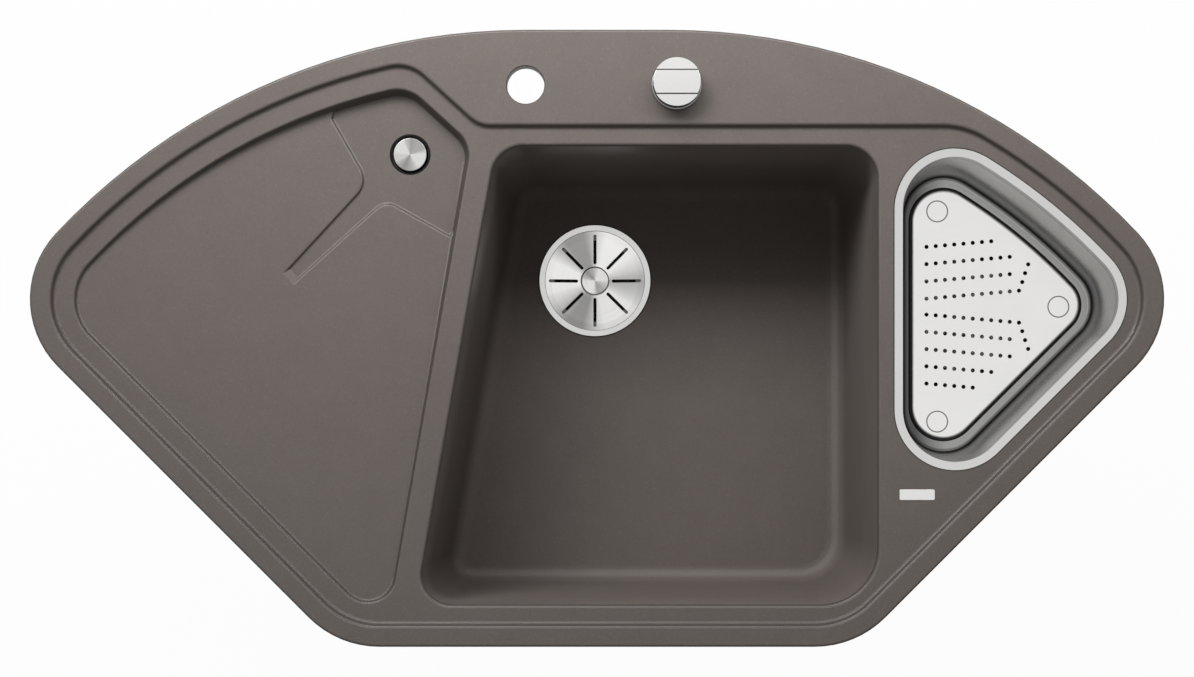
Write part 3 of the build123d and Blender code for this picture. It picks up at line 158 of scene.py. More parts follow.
class SinkColours(bpy.types.PropertyGroup):
    """Colours of the sink's finishes."""

    composite: colour("Composite", "Main tone of the moulding", (0.166, 0.1425, 0.130))
    composite_shade: colour("Composite shade", "Darker clouds in the moulding",
                            (0.158, 0.1355, 0.1235))
    # Painted shade: the dark colour painted into the deck's creases, the tap hole's wall and the
    # bowls' walls.
    painted_shade: colour("Creases", "Steep little faces of the steps and gully", (0.03, 0.025, 0.022))
    # Pale stone grains, and also the painted highlight on the step lips and the bowls' lit fillets.
    light_grain_and_highlight: colour("Light grains", "Pale stone grains", (0.30, 0.28, 0.26))
    dark_grain: colour("Dark grains", "Dark stone grains", (0.07, 0.06, 0.055))
    steel: colour("Steel", "Stainless steel", (0.74, 0.735, 0.72))
    # Darker streaks and patches in steel; mixed in strongly, it is the knob collar's painted dark
    # reflection.
    steel_shade: colour("Steel shade", "Darker reflections in turned steel", (0.36, 0.355, 0.35))
    # The turned steel's bright and dark lobes are a painted reflection.
    turned: colour("Turned steel", "Bright lobes in turned steel", (0.90, 0.895, 0.88))
    painted_dark_lobe: colour("Turned shade", "Dark lobes in turned steel", (0.13, 0.128, 0.126))
    # Painted shade and dark reflection on steep and deep places of steel.
    steel_painted_shade: colour("Steel depth", "Steep and deep places in pressed steel",
                       (0.035, 0.035, 0.036))
    zinc: colour("Zinc", "Plated clips and screws", (0.52, 0.53, 0.54))
    black: colour("Black plastic", "Cups, nuts and housings", (0.010, 0.010, 0.011))
    white: colour("White plastic", "Drain pipes", (0.66, 0.66, 0.64))
    grey: colour("Grey plastic", "Plugs and claws", (0.16, 0.165, 0.17))
    clear: colour("Milky plastic", "Tray feet", (0.55, 0.57, 0.57))
    rubber: colour("Rubber", "Seals and gaskets", (0.012, 0.012, 0.013))


class SinkSizes(bpy.types.PropertyGroup):
    """Sizes of the small repeated details."""

    screw_pitch: length("Screw pitch", "Rise of a clamping screw's thread in one turn", 0.0012)
    outlet_pitch: length("Outlet pitch", "Rise of the trap outlet's thread in one turn", 0.0023)
    cup_ribs: IntProperty(name="Cup ribs", description="Stiffening ribs round a waste cup", min=3,
                          default=16)
    cup_rib: length("Cup rib", "Width of a stiffening rib", 0.0030)


class SinkStudio(bpy.types.PropertyGroup):
    """Light and camera."""

    key_power: FloatProperty(name="Key light", unit="POWER", min=0, default=28.5,
                             description="Power of the large light at the rear left")
    ledge_power: FloatProperty(name="Ledge light", unit="POWER", min=0, default=4.7,
                               description="Power of the low light behind the ledge")
    sky: FloatProperty(name="Sky", min=0, default=0.12,
                       description="Strength of the even light from above")
    horizon: FloatProperty(name="Horizon", min=0, default=0.9,
                           description="Strength of the light from low down all round")
    camera_height: length("Camera height", "Height of the lens above the rim", 2.0)


# --- node trees -------------------------------------------------------------------------

class Signal:
    """The output of a node; an operator on it adds a Math node to the same tree."""

    def __init__(self, nodes, socket):
        self.nodes = nodes
        self.socket = socket

    def math(self, operation, *values):
        return self.nodes.add("ShaderNodeMath", {"operation": operation}, dict(enumerate(values)))

    def __add__(self, other):
        return self.math("ADD", self, other)

    def __sub__(self, other):
        return self.math("SUBTRACT", self, other)

    def __rsub__(self, other):
        return self.math("SUBTRACT", other, self)

    def __mul__(self, other):
        return self.math("MULTIPLY", self, other)

    def __truediv__(self, other):
        return self.math("DIVIDE", self, other)

    def __pow__(self, other):
        return self.math("POWER", self, other)

    __radd__ = __add__
    __rmul__ = __mul__


class Nodes:
    """A node tree being drawn up."""

    def __init__(self, tree):
        self.tree = tree
        tree.nodes.clear()

    def add(self, kind, settings=None, values=None, output=0):
        """A node: its settings first, then the values or links of its sockets."""
        node = self.tree.nodes.new(kind)
        for name, value in (settings or {}).items():
            setattr(node, name, value)
        for name, value in (values or {}).items():
            self.feed(node.inputs[name], value)
        return Signal(self, node.outputs[output])

    def feed(self, socket, value):
        """Link a signal to a socket, or set the socket's own value."""
        if isinstance(value, Signal):
            self.tree.links.new(value.socket, socket)
        elif socket.type == "RGBA" and len(value) == 3:
            socket.default_value = (*value, 1)
        else:
            socket.default_value = value

    def parts(self, vector):
        """The three numbers of a vector."""
        first = self.add("ShaderNodeSeparateXYZ", None, {0: vector})
        return [Signal(self, output) for output in first.socket.node.outputs]

    def joined(self, x, y, z):
        """A vector from three numbers."""
        return self.add("ShaderNodeCombineXYZ", None, {0: x, 1: y, 2: z})


class Finish(Nodes):
    """A procedural material on Object coordinates."""

    def __init__(self, name):
        self.material = bpy.data.materials.new(name)
        self.material.use_nodes = True
        super().__init__(self.material.node_tree)
        self.place = self.add("ShaderNodeTexCoord", output="Object")

    def centred(self, centre=(0, 0, 0), grain=(1, 1, 1)):
        """Object coordinates about a centre, measured in grain sizes."""
        return self.add("ShaderNodeMapping", {"vector_type": "TEXTURE"},
                        {"Vector": self.place, "Location": centre, "Scale": grain})

    def noise(self, scale, detail, at=None, seed=0.0):
        """Soft noise from 0 to 1."""
        return self.add("ShaderNodeTexNoise", {"noise_dimensions": "4D"},
                        {"Vector": at or self.place, "W": seed, "Scale": scale, "Detail": detail})

    def spread(self, signal, low, high, to_low=0.0, to_high=1.0):
        """Stretch a stretch of values over another, clamped."""
        return self.add("ShaderNodeMapRange", None,
                        {"Value": signal, "From Min": low, "From Max": high,
                         "To Min": to_low, "To Max": to_high})

    def mix(self, mask, low, high):
        """A colour between two."""
        return self.add("ShaderNodeMix", {"data_type": "RGBA"}, {0: mask, 6: low, 7: high},
                        output=2)

    def relief(self, height, depth):
        """A bumped normal; depth is in metres."""
        return self.add("ShaderNodeBump", None, {"Height": height, "Distance": depth}, "Normal")

    def most(self, one, other):
        """The larger of two numbers."""
        return one.math("MAXIMUM", one, other)

    def near(self, signal, value, edge):
        """1 close to a value, falling to 0 over an edge given as its far and near distance."""
        off = signal - value
        return self.spread(off.math("ABSOLUTE", off), *edge)

    def away(self, x, y):
        """The distance from the axis that x and y are measured from."""
        return (x * x + y * y + TINY) ** 0.5

    def normal(self):
        """The surface's direction: rightward, rearward and up."""
        return self.parts(self.add("ShaderNodeNewGeometry", output="Normal"))

    def sheet(self, pale, dark, roughness):
        """End the tree as rolled sheet steel, with painted shade mixed in where a mask says."""
        look = tones()
        streaks = self.noise(1.0, 2.0, self.centred(grain=(0.02, 0.0006, 0.0006)))
        haze = self.noise(25.0, 2.0)
        tone = self.mix(0.06 * streaks + 0.06 * haze, pale, tuple(look.steel_shade))
        tone = self.mix(dark, tone, tuple(look.steel_painted_shade))
        return self.shade({"Base Color": tone, "Metallic": 1.0,
                           "Roughness": roughness + 0.04 * streaks + 0.04 * haze,
                           "Normal": self.relief(streaks, 0.000002)})

    def shade(self, values):
        """End the tree in a Principled shader and return the material."""
        self.close(self.add("ShaderNodeBsdfPrincipled", None, values))
        return self.material

    def close(self, shader):
        """Link a shader to the material's output."""
        output = self.tree.nodes.new("ShaderNodeOutputMaterial")
        self.tree.links.new(shader.socket, output.inputs["Surface"])


def tones():
    """The scene's colours."""
    return bpy.context.scene.sink_colours


# --- finishes ---------------------------------------------------------------------------

def stone(paint):
    """Faint clouds with pale and dark grains."""
    look = tones()
    cloud = paint.spread(paint.noise(30.0, 3.0), 0.35, 0.65)
    tone = paint.mix(cloud, tuple(look.composite_shade), tuple(look.composite))
    cells = paint.add("ShaderNodeTexVoronoi", None, {"Vector": paint.place, "Scale": 1100.0},
                      "Color")
    pick = paint.parts(cells)[0]
    tone = paint.mix(paint.spread(pick, 0.90, 0.98) * 0.20, tone, tuple(look.light_grain_and_highlight))
    return paint.mix(paint.spread(pick, 0.10, 0.02) * 0.22, tone, tuple(look.dark_grain))


def deck_painted_light(paint, tone):
    """Painted highlight on the deck's step lips, painted shade in its creases and on the tap hole's
    wall.
    """
    look = tones()
    x, y, z = paint.parts(paint.place)
    _, rearward, up = paint.normal()
    above = paint.spread(z, *DECK_PAINTED_LIGHT)
    # Painted highlight along the step edges that face the rear.
    painted_lip_highlight = paint.spread(up, 0.998, 0.985) * paint.spread(up, 0.957, 0.970)
    painted_lip_highlight = painted_lip_highlight * paint.spread(rearward, 0.02, 0.08)
    tone = paint.mix(0.46 * painted_lip_highlight * above, tone, tuple(look.light_grain_and_highlight))
    # Painted shade on the steps' steep faces.
    painted_shade = paint.spread(up, 0.93, 0.72) * paint.spread(up, 0.20, 0.28)
    tone = paint.mix(0.60 * painted_shade * above, tone, tuple(look.painted_shade))
    # Painted shade on the tap hole's wall.
    painted_bore_shade = paint.spread(paint.away(x - TAP_HOLE[0], y - TAP_HOLE[1]), *TAP_BORE)
    return paint.mix(0.85 * painted_bore_shade * paint.spread(up, 0.7, 0.4), tone, tuple(look.painted_shade))


def bowl_painted_light(paint, tone, inside):
    """Painted highlight on the fillets at the walls' foot that the key light meets, and painted
    shade on the walls.
    """
    look = tones()
    rightward, rearward, up = paint.normal()
    # Painted highlight on the lit fillets.
    painted_fillet_highlight = paint.spread(up, 0.985, 0.93) * paint.spread(up, 0.70, 0.82)
    painted_fillet_highlight = painted_fillet_highlight * inside * paint.spread(rearward - rightward, 0.05, 0.20)
    tone = paint.mix(0.30 * painted_fillet_highlight, tone, tuple(look.light_grain_and_highlight))
    # Painted shade on the walls facing right and rearward.
    walls = 0.30 * paint.spread(rightward, 0.5, 0.9) + 0.16 * paint.spread(rearward, 0.5, 0.9)
    return paint.mix(walls * inside, tone, tuple(look.painted_shade))


def composite():
    """Granite-filled composite: satin where it is seen, duller and mottled underneath."""
    paint = Finish("composite")
    under = paint.spread(paint.normal()[2], -0.01, -0.05)
    mottle = paint.spread(paint.noise(60.0, 4.0), 0.3, 0.7)
    inside = paint.spread(paint.parts(paint.place)[2], *BOWL_INSIDE)
    tone = paint.mix(under * (0.25 + 0.3 * mottle), stone(paint), tuple(tones().dark_grain))
    # Painted highlights and painted shade on the deck's steps and in the bowls.
    tone = bowl_painted_light(paint, deck_painted_light(paint, tone), inside)
    fine = paint.noise(1500.0, 2.0)
    height = fine * (0.25 + 0.75 * under) + 2.0 * mottle * under
    return paint.shade({"Base Color": tone, "Specular IOR Level": 0.32,
                        "Roughness": 0.31 + 0.06 * fine + 0.35 * under + 0.36 * inside,
                        "Normal": paint.relief(height, 0.00006)})


def rolled_steel(name, roughness):
    """Satin sheet with a faint rolling grain."""
    return Finish(name).sheet(tuple(tones().steel), 0.0, roughness)


def painted_foot_rings(paint, x, y):
    """Painted dark rings where the tray's floor is pressed over its feet."""
    rings = 0.0
    for foot_x, foot_y in TRAY_FEET:
        far = paint.away(x - foot_x, y - foot_y)
        rings = rings + paint.near(far, TRAY_FOOT_RING, TRAY_RING_EDGE)
    return rings


def tray_steel():
    """The tray's satin sheet with painted shade and dark reflection: dark bends, gully, rim band and
    wall line, and walls that darken downwards.
    """
    paint = Finish("tray_steel")
    low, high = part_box("tray_pan")
    x, y, z = paint.parts(paint.place)
    height, depth = z - low.z, high.z - z
    up = paint.normal()[2]
    steep = paint.spread(up, 0.6, 0.3)
    bend = 0.88 * paint.spread(up, 0.985, 0.90) * (1 - 0.86 * paint.spread(up, 0.50, 0.22))
    bank = paint.spread(height, *TRAY_BANK) * (1 - steep)
    bend = bend + bank * (0.80 * paint.spread(up, 0.97, 0.72) - bend)
    deep = paint.spread(height, *TRAY_WALL_SHADE)
    bright_side, dark_side = TRAY_DARK_SIDE
    side = paint.spread(x, low.x + bright_side, low.x + dark_side, 0.62, 0.94)
    gully = paint.spread(height, *TRAY_GULLY) * side
    line = 0.55 * steep * paint.near(depth, TRAY_LINE, TRAY_LINE_EDGE)
    # All of these darken the colour as painted shade and dark reflection.
    dark = paint.most(paint.most(bend, line), paint.most(deep * deep * steep, gully))
    dark = paint.most(dark, 0.20 * paint.spread(depth, *TRAY_RIM))
    dark = dark * paint.spread(up, 0.02, 0.08)
    dark = paint.most(dark, 0.88 * painted_foot_rings(paint, x, y) * paint.spread(up, 0.5, 0.9))
    return paint.sheet(tuple(tones().steel), dark, 0.18)


def flange_steel(prefix):
    """A waste's pressed flange, a little darker throughout, with painted shade down its neck."""
    paint = Finish(prefix + "_flange_steel")
    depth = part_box(prefix + "_waste_flange")[1].z - paint.parts(paint.place)[2]
    return paint.sheet(tuple(tones().steel), 0.20 + 0.72 * paint.spread(depth, *FLANGE_NECK), 0.2)


def brushed_steel(name, roughness=0.28, pale=0.0, dark=0.0, level=None):
    """Straight-brushed steel, greyed by pale, with painted shade and dark reflection on steep sides
    and below a level.
    """
    look = tones()
    paint = Finish(name)
    streaks = paint.noise(1.0, 3.0, paint.centred(grain=(0.012, 0.00025, 0.00025)))
    tone = paint.mix(pale + 0.35 * streaks, tuple(look.steel), tuple(look.steel_shade))
    steep = paint.spread(paint.normal()[2], 0.97, 0.70)
    if level is not None:
        steep = paint.most(steep, paint.spread(paint.parts(paint.place)[2], level, level - 0.0004))
    tone = paint.mix(dark * steep, tone, tuple(look.steel_painted_shade))
    return paint.shade({"Base Color": tone, "Metallic": 1.0,
                        "Roughness": roughness + 0.10 * streaks,
                        "Normal": paint.relief(streaks, 0.000012)})


def turned_steel(name, centre, seed, lobes, dark_at, pale, depth):
    """Steel brushed in rings about a centre, with the broad lobes of light that rings give painted
    into its colour as a painted reflection.
    """
    look = tones()
    paint = Finish(name)
    x, y, _ = paint.parts(paint.centred(tuple(centre)))
    radius = paint.away(x, y)
    ray = (x / radius, y / radius)
    angle = x.math("ARCTAN2", y, x)
    # Painted reflection: lobes round the centre and fine rays.
    painted_lobe = 0.5 + 0.5 * x.math("COSINE", lobes * (angle - math.radians(dark_at)))
    painted_fan = paint.noise(1.3, 1.0, paint.joined(ray[0], ray[1], 0.0), seed)
    soft = paint.spread(0.62 * painted_lobe + 0.76 * painted_fan, 0.52, 1.05)
    at = paint.joined(radius / 0.00022, ray[0] * 0.9, ray[1] * 0.9)
    rings = paint.noise(1.0, 2.0, at, seed)
    tone = paint.mix(pale + depth * soft + 0.20 * rings, tuple(look.turned),
                     tuple(look.painted_dark_lobe))
    return paint.shade({"Base Color": tone, "Metallic": 1.0, "Roughness": 0.26 + 0.12 * rings,
                        "Normal": paint.relief(rings, 0.00001)})


def zinc_plate():
    """Zinc-plated steel with faint patches."""
    look = tones()
    paint = Finish("zinc_plate")
    patches = paint.noise(260.0, 2.0)
    tone = paint.mix(0.5 * patches, tuple(look.zinc), tuple(look.steel_shade))
    return paint.shade({"Base Color": tone, "Metallic": 1.0, "Roughness": 0.30 + 0.25 * patches,
                        "Normal": paint.relief(patches, 0.00003)})


def moulded(name, tone, roughness, worn=0.12, gloss=0.5):
    """Moulded plastic with a fine texture and faint flow marks."""
    paint = Finish(name)
    skin = paint.noise(2200.0, 1.0)
    flow = paint.noise(1.0, 2.0, paint.centred(grain=(0.03, 0.03, 0.012)))
    dull = tuple(0.72 * c for c in tone)
    return paint.shade({"Base Color": paint.mix(worn * 3 * flow, tuple(tone), dull),
                        "Roughness": roughness + worn * flow + 0.05 * skin,
                        "Specular IOR Level": gloss,
                        "Normal": paint.relief(skin + flow, 0.00003)})


def rubber():
    """Black rubber with a dusty bloom."""
    look = tones()
    paint = Finish("rubber")
    bloom = paint.noise(180.0, 3.0)
    pale = tuple(c + 0.02 for c in look.rubber)
    return paint.shade({"Base Color": paint.mix(bloom, tuple(look.rubber), pale),
                        "Roughness": 0.62 + 0.2 * bloom, "Normal": paint.relief(bloom, 0.00004)})


# --- mesh helpers -----------------------------------------------------------------------

def dress(material, *nodes):
    """Give CAD nodes a finish."""
    for node in nodes:
        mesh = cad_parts[node].data
        mesh.materials.clear()
        mesh.materials.append(material)


def new_piece(name, mesh):
    """An object at the origin for a finished mesh."""
    piece = bpy.data.objects.new(name, mesh)
    bpy.context.scene.collection.objects.link(piece)
    return piece


# --- Geometry Nodes ---------------------------------------------------------------------

class Growth(Nodes):
    """A Geometry Nodes group with named inputs."""

    def __init__(self, name, inputs):
        super().__init__(bpy.data.node_groups.new(name, "GeometryNodeTree"))
        face = self.tree.interface
        face.new_socket("Geometry", in_out="INPUT", socket_type="NodeSocketGeometry")
        for label, value in inputs.items():
            kind = "NodeSocketInt" if isinstance(value, int) else "NodeSocketFloat"
            face.new_socket(label, in_out="INPUT", socket_type=kind).default_value = value
        face.new_socket("Geometry", in_out="OUTPUT", socket_type="NodeSocketGeometry")
        self.given = self.tree.nodes.new("NodeGroupInput").outputs

    def input(self, label):
        """One of the group's inputs."""
        return Signal(self, self.given[label])

    def finish(self, geometry, material):
        """Realize the instances, set the finish and end the group."""
        real = self.add("GeometryNodeRealizeInstances", None, {0: geometry})
        smooth = self.add("GeometryNodeSetShadeSmooth", None, {0: real})
        done = self.add("GeometryNodeSetMaterial", None, {"Geometry": smooth, "Material": material})
        end = self.tree.nodes.new("NodeGroupOutput")
        self.tree.links.new(done.socket, end.inputs[0])

    def grow(self, name, values, place):
        """A plain mesh piece from the group, with its inputs set and its place in its mesh."""
        piece = new_piece(name, bpy.data.meshes.new(name + "_seed"))
        modifier = piece.modifiers.new("growth", "NODES")
        modifier.node_group = self.tree
        for item in self.tree.interface.items_tree:
            if item.in_out == "INPUT" and item.name in values:
                modifier[item.identifier] = values[item.name]
        graph = bpy.context.evaluated_depsgraph_get()
        mesh = bpy.data.meshes.new_from_object(piece.evaluated_get(graph))
        piece.modifiers.remove(modifier)
        mesh.name = name
        mesh.transform(place)
        piece.data = mesh
        return piece


def thread_growth(material):
    """A round-crested thread that climbs a cylinder."""
    growth = Growth("thread", {"Radius": 0.0025, "Ridge": 0.0004, "Turns": 10.0, "Height": 0.012,
                               "Steps": 32})
    radius = growth.input("Radius")
    helix = growth.add("GeometryNodeCurveSpiral", None,
                       {"Resolution": growth.input("Steps"), "Rotations": growth.input("Turns"),
                        "Start Radius": radius, "End Radius": radius,
                        "Height": growth.input("Height")})
    ridge = growth.add("GeometryNodeCurvePrimitiveCircle", {"mode": "RADIUS"},
                       {"Resolution": 6, "Radius": growth.input("Ridge")})
    turns = growth.add("GeometryNodeCurveToMesh", None,
                       {"Curve": helix, "Profile Curve": ridge, "Fill Caps": True})
    growth.finish(turns, material)
    return growth


def rib_growth(material):
    """Upright round ribs in a circle."""
    growth = Growth("ribs", {"Count": 20, "Radius": 0.0275, "Width": 0.003, "Height": 0.016})
    circle = growth.add("GeometryNodeMeshCircle", None,
                        {"Vertices": growth.input("Count"), "Radius": growth.input("Radius")})
    rib = growth.add("GeometryNodeMeshCylinder", None,
                     {"Vertices": 12, "Side Segments": 1, "Radius": growth.input("Width") * 0.5,
                      "Depth": growth.input("Height")})
    tip = growth.add("GeometryNodeMeshIcoSphere", None,
                     {"Radius": growth.input("Width") * 0.5, "Subdivisions": 2})
    up = growth.joined(0.0, 0.0, growth.input("Height") * 0.5)
    down = growth.joined(0.0, 0.0, growth.input("Height") * -0.5)
    top = growth.add("GeometryNodeTransform", None, {"Geometry": tip, "Translation": up})
    foot = growth.add("GeometryNodeTransform", None, {"Geometry": tip, "Translation": down})
    whole = growth.add("GeometryNodeJoinGeometry")
    join = whole.socket.node
    for part in (rib, top, foot):
        growth.tree.links.new(part.socket, join.inputs[0])
    ribs = growth.add("GeometryNodeInstanceOnPoints", None, {"Points": circle, "Instance": whole})
    growth.finish(ribs, material)
    return growth


# --- pieces -----------------------------------------------------------------------------

class SINK_OT_moulding(bpy.types.Operator):
    """Finish the one-piece moulding and its bare badge plate"""

    bl_idname = "sink.moulding"
    bl_label = "Moulding"

    def execute(self, context):
        dress(composite(), "sink_deck", "main_bowl", "side_bowl")
        dress(rolled_steel("badge_steel", 0.3), "badge_plate")
        return {"FINISHED"}


class SINK_OT_tray(bpy.types.Operator):
    """Finish the lift-out tray and its feet"""

    bl_idname = "sink.tray"
    bl_label = "Tray"

    def execute(self, context):
        dress(tray_steel(), "tray_pan")
        dress(moulded("tray_foot_plastic", tones().clear, 0.35), "tray_feet")
        return {"FINISHED"}


class SINK_OT_wastes(bpy.types.Operator):
    """Finish both wastes: flanges, strainers, buttons, plugs and what hangs under the bowls"""

    bl_idname = "sink.wastes"
    bl_label = "Wastes"

    def execute(self, context):
        sizes = context.scene.sink_sizes
        black = moulded("waste_plastic", tones().black, 0.42)
        grey = moulded("plug_plastic", tones().grey, 0.45)
        seal = rubber()
        ribs = rib_growth(black)
        for prefix, centre, seed in (("main", MAIN_WASTE, 2.0), ("side", SIDE_WASTE, 7.0)):
            dress(flange_steel(prefix), prefix + "_waste_flange")
            # The dishes and buttons carry painted reflection lobes.
            dress(turned_steel(prefix + "_dish_steel", centre, seed, lobes=3, dark_at=117.0,
                               pale=-0.05, depth=0.70), prefix + "_strainer")
            dress(turned_steel(prefix + "_button_steel", centre, seed + 1.5, lobes=2,
                               dark_at=130.0, pale=0.12, depth=0.60), prefix + "_strainer_button")
            dress(grey, prefix + "_plug")
            dress(seal, prefix + "_plug_seal")
            dress(black, prefix + "_waste_nut", prefix + "_waste_body")
            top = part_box(prefix + "_waste_body")[1].z
            place = Matrix.Translation((centre.x, centre.y, top - CUP_RIB_DROP))
            cup = ribs.grow(prefix + "_cup_ribs",
                            {"Count": sizes.cup_ribs, "Radius": CUP_RIB_RADIUS,
                             "Width": sizes.cup_rib, "Height": CUP_RIB_HEIGHT}, place)
            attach(cup, "sink")
        dress(seal, "waste_seals", "waste_gaskets")
        dress(black, "main_lift_lever", "waste_cable_gland")
        dress(brushed_steel("pin_steel"), "main_lift_pin", "main_lever_pin")
        return {"FINISHED"}


class SINK_OT_control(bpy.types.Operator):
    """Finish the rotary control on and under the tap ledge"""

    bl_idname = "sink.control"
    bl_label = "Rotary control"

    def execute(self, context):
        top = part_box("knob_grip")[1].z
        # The knob is greyed, with painted shade and dark reflection on its sides and wing grooves.
        dress(brushed_steel("knob_steel", roughness=0.25, pale=0.24, dark=0.85,
                            level=top - KNOB_WING_DROP), "knob_grip")
        # The collar is greyed and darkened as a painted dark reflection.
        dress(brushed_steel("collar_steel", roughness=0.34, pale=0.62, dark=0.80),
              "knob_base_ring")
        dress(brushed_steel("spindle_steel"), "knob_spindle")
        dress(moulded("control_plastic", tones().black, 0.45), "knob_bush", "cable_drum",
              "knob_lock_nut", "knob_housing", "control_cable_gland")
        dress(moulded("washer_plastic", tones().grey, 0.5), "knob_washer")
        dress(bpy.data.materials["rubber"], "knob_seal")
        return {"FINISHED"}


class SINK_OT_outlet(bpy.types.Operator):
    """Finish the drainer's outlet and overflow"""

    bl_idname = "sink.outlet"
    bl_label = "Drainer outlet"

    def execute(self, context):
        # The cap is darkened and carries painted reflection lobes.
        dress(turned_steel("cap_steel", OUTLET, 4.0, lobes=2, dark_at=60.0, pale=0.36,
                           depth=0.40), "overflow_cap")
        dress(moulded("outlet_plastic", tones().black, 0.6, gloss=0.15), "overflow_spider",
              "overflow_cap_clip", "overflow_body")
        dress(brushed_steel("outlet_screw_steel"), "overflow_screw")
        dress(bpy.data.materials["rubber"], "overflow_gasket")
        return {"FINISHED"}


class SINK_OT_pipes(bpy.types.Operator):
    """Finish the drain pipes and their slip nuts and make the outlet's thread"""

    bl_idname = "sink.pipes"
    bl_label = "Drain pipes"

    def execute(self, context):
        sizes = context.scene.sink_sizes
        white = moulded("pipe_plastic", tones().white, 0.3, worn=0.05)
        dress(white, "drain_tee", "drain_bend", "link_pipe", "slip_nuts")
        dress(bpy.data.materials["rubber"], "slip_seals")
        low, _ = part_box("drain_tee")
        place = Matrix.Translation((MAIN_WASTE.x, MAIN_WASTE.y, low.z + OUTLET_THREAD_RIDGE))
        thread = thread_growth(white).grow(
            "outlet_thread", {"Radius": OUTLET_THREAD_RADIUS, "Ridge": OUTLET_THREAD_RIDGE,
                              "Turns": OUTLET_THREAD_HEIGHT / sizes.outlet_pitch,
                              "Height": OUTLET_THREAD_HEIGHT, "Steps": 64}, place)
        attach(thread, "sink")
        return {"FINISHED"}


class SINK_OT_clips(bpy.types.Operator):
    """Finish the fixing clips and make the threads of their screws"""

    bl_idname = "sink.clips"
    bl_label = "Fixing clips"

    def execute(self, context):
        sizes = context.scene.sink_sizes
        plate = zinc_plate()
        claw = moulded("claw_plastic", tones().grey, 0.5)
        dress(plate, "clip_brackets")
        growth = thread_growth(plate)
        for number in CLIPS:
            screw, arm = "clip_screw_%d" % number, "clip_claw_%d" % number
            dress(plate, screw)
            dress(claw, arm)
            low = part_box(arm)[1].z
            height = SCREW_THREAD_TOP - low
            centre = middle(screw)
            thread = growth.grow("clip_thread_%d" % number,
                                 {"Radius": SCREW_THREAD_RADIUS, "Ridge": SCREW_THREAD_RIDGE,
                                  "Turns": height / sizes.screw_pitch, "Height": height,
                                  "Steps": 24},
                                 Matrix.Translation((centre.x, centre.y, low)))
            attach(thread, "clip_%d" % number)
        return {"FINISHED"}


# --- studio -----------------------------------------------------------------------------

def area_light(name, place, target, size, power):
    """A rectangular soft light aimed at a point."""
    data = bpy.data.lights.new(name, "AREA")
    data.shape = "RECTANGLE"
    data.size, data.size_y = size
    data.energy = power
    light = bpy.data.objects.new(name, data)
    light.location = place
    light.rotation_euler = (Vector(target) - Vector(place)).to_track_quat("-Z", "Y").to_euler()
    bpy.context.scene.collection.objects.link(light)
    return light


def hang_lights(studio):
    """A large light at the rear left and a low one over the ledge; SKY_LIT takes neither."""
    lights = (area_light("key", *KEY_LIGHT, studio.key_power),
              area_light("ledge", *LEDGE_LIGHT, studio.ledge_power))
    unlit = bpy.data.collections.new("lit_by_the_sky_alone")
    for node in SKY_LIT:
        unlit.objects.link(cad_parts[node])
    for item in unlit.collection_objects:
        item.light_linking.link_state = "EXCLUDE"
    for light in lights:
        light.light_linking.receiver_collection = unlit


def floor_paper():
    """Pale paper, almost plain white to the camera, that is clear from below."""
    paint = Finish("floor_paper")
    pale = paint.add("ShaderNodeBsdfDiffuse", None, {"Color": (0.86, 0.86, 0.86)})
    white = paint.add("ShaderNodeEmission", None, {"Color": (1, 1, 1), "Strength": 1.0})
    seen = paint.add("ShaderNodeLightPath", output="Is Camera Ray") * 0.97
    above = paint.add("ShaderNodeMixShader", None, {0: seen, 1: pale, 2: white})
    below = paint.add("ShaderNodeNewGeometry", output="Backfacing")
    clear = paint.add("ShaderNodeBsdfTransparent")
    paint.close(paint.add("ShaderNodeMixShader", None, {0: below, 1: above, 2: clear}))
    return paint.material


def lay_floor():
    """The floor under the sink's lowest point."""
    mesh = bpy.data.meshes.new("floor")
    corners = ((-1, -1), (1, -1), (1, 1), (-1, 1))
    mesh.from_pydata([(x * FLOOR_REACH, y * FLOOR_REACH, FLOOR) for x, y in corners], [],
                     [(0, 1, 2, 3)])
    mesh.materials.append(floor_paper())
    floor = new_piece("floor", mesh)


def smooth_step(nodes, rise, start, end, low, high):
    """A value that eases from one to another over a stretch of a ray's rise."""
    return nodes.add("ShaderNodeMapRange", {"interpolation_type": "SMOOTHSTEP"},
                     {"Value": rise, "From Min": start, "From Max": end,
                      "To Min": low, "To Max": high})


def raise_sky(studio):
    """White to the camera, a banded dome to glossy rays, and a soft even light to the rest."""
    world = bpy.data.worlds.new("studio")
    bpy.context.scene.world = world
    world.use_nodes = True
    nodes = Nodes(world.node_tree)
    camera_ray = nodes.add("ShaderNodeLightPath", output="Is Camera Ray")
    glossy_ray = nodes.add("ShaderNodeLightPath", output="Is Glossy Ray")
    rise = nodes.parts(nodes.add("ShaderNodeTexCoord", output="Generated"))[2]
    dome = DOME_BASE
    for start, end, share in DOME_BANDS:
        dome = dome + smooth_step(nodes, rise, start, end, 0.0, share)
    even = smooth_step(nodes, rise, *LOW_SKY, studio.sky, studio.horizon)
    seen = dome.math("MAXIMUM", glossy_ray * dome, (1 - glossy_ray) * even)
    strength = seen.math("MAXIMUM", camera_ray, seen)
    sky = nodes.add("ShaderNodeBackground", None, {"Color": (1, 1, 1), "Strength": strength})
    end = nodes.tree.nodes.new("ShaderNodeOutputWorld")
    nodes.tree.links.new(sky.socket, end.inputs["Surface"])


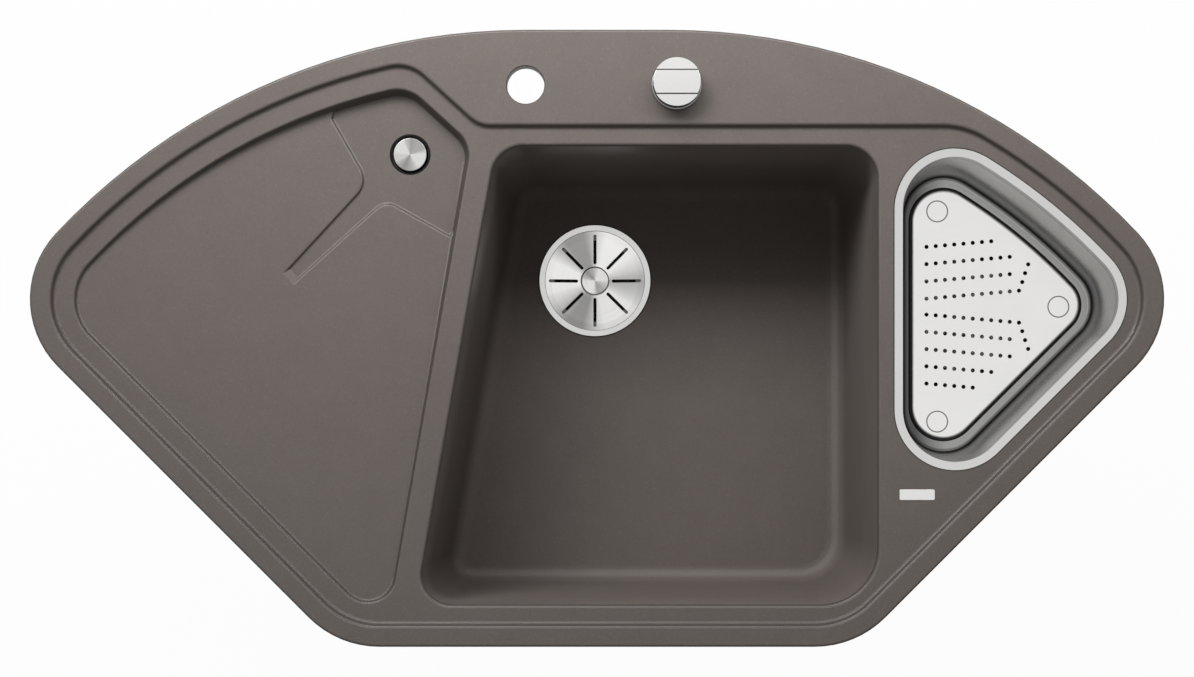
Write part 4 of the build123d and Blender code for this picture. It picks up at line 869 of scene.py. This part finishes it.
def aim_camera(studio):
    """The camera looks straight down from in front of the main waste, with a shifted lens."""
    data = bpy.data.cameras.new("camera")
    data.lens = LENS
    data.sensor_width = SENSOR_WIDTH
    data.shift_x, data.shift_y = LENS_SHIFT
    data.clip_end = 50.0
    camera = bpy.data.objects.new("camera", data)
    camera.location = (CAMERA_X, CAMERA_Y, RIM_TOP + studio.camera_height)
    bpy.context.scene.collection.objects.link(camera)
    bpy.context.scene.camera = camera


class SINK_OT_studio(bpy.types.Operator):
    """Set up the pale floor, the soft lights and the camera"""

    bl_idname = "sink.studio"
    bl_label = "Studio"

    def execute(self, context):
        studio = context.scene.sink_studio
        lay_floor()
        hang_lights(studio)
        raise_sky(studio)
        aim_camera(studio)
        context.scene.view_settings.view_transform = "Standard"
        return {"FINISHED"}


class SINK_PT_pieces(bpy.types.Panel):
    """Lists the sink's operators and settings"""

    bl_idname = "SINK_PT_pieces"
    bl_label = "Corner sink"
    bl_space_type = "VIEW_3D"
    bl_region_type = "UI"
    bl_category = "Sink"

    def draw(self, context):
        for name in GROUPS:
            group = getattr(context.scene, name)
            box = self.layout.box()
            for setting in group.__annotations__:
                box.prop(group, setting)
        for step in STEPS:
            self.layout.operator(step.bl_idname)


GROUPS = {"sink_colours": SinkColours, "sink_sizes": SinkSizes, "sink_studio": SinkStudio}
STEPS = (SINK_OT_studio, SINK_OT_moulding, SINK_OT_tray, SINK_OT_wastes, SINK_OT_control,
         SINK_OT_outlet, SINK_OT_pipes, SINK_OT_clips)


def register():
    for cls in (*GROUPS.values(), *STEPS, SINK_PT_pieces):
        bpy.utils.register_class(cls)
    for name, group in GROUPS.items():
        setattr(bpy.types.Scene, name, PointerProperty(type=group))


def unregister():
    for name in GROUPS:
        delattr(bpy.types.Scene, name)
    for cls in (SINK_PT_pieces, *reversed(STEPS), *reversed(list(GROUPS.values()))):
        bpy.utils.unregister_class(cls)


def main():
    """Register the add-on and build everything in order."""
    register()
    for step in STEPS:
        getattr(bpy.ops.sink, step.bl_idname.split(".")[1])()


if __name__ == "__main__":
    main()
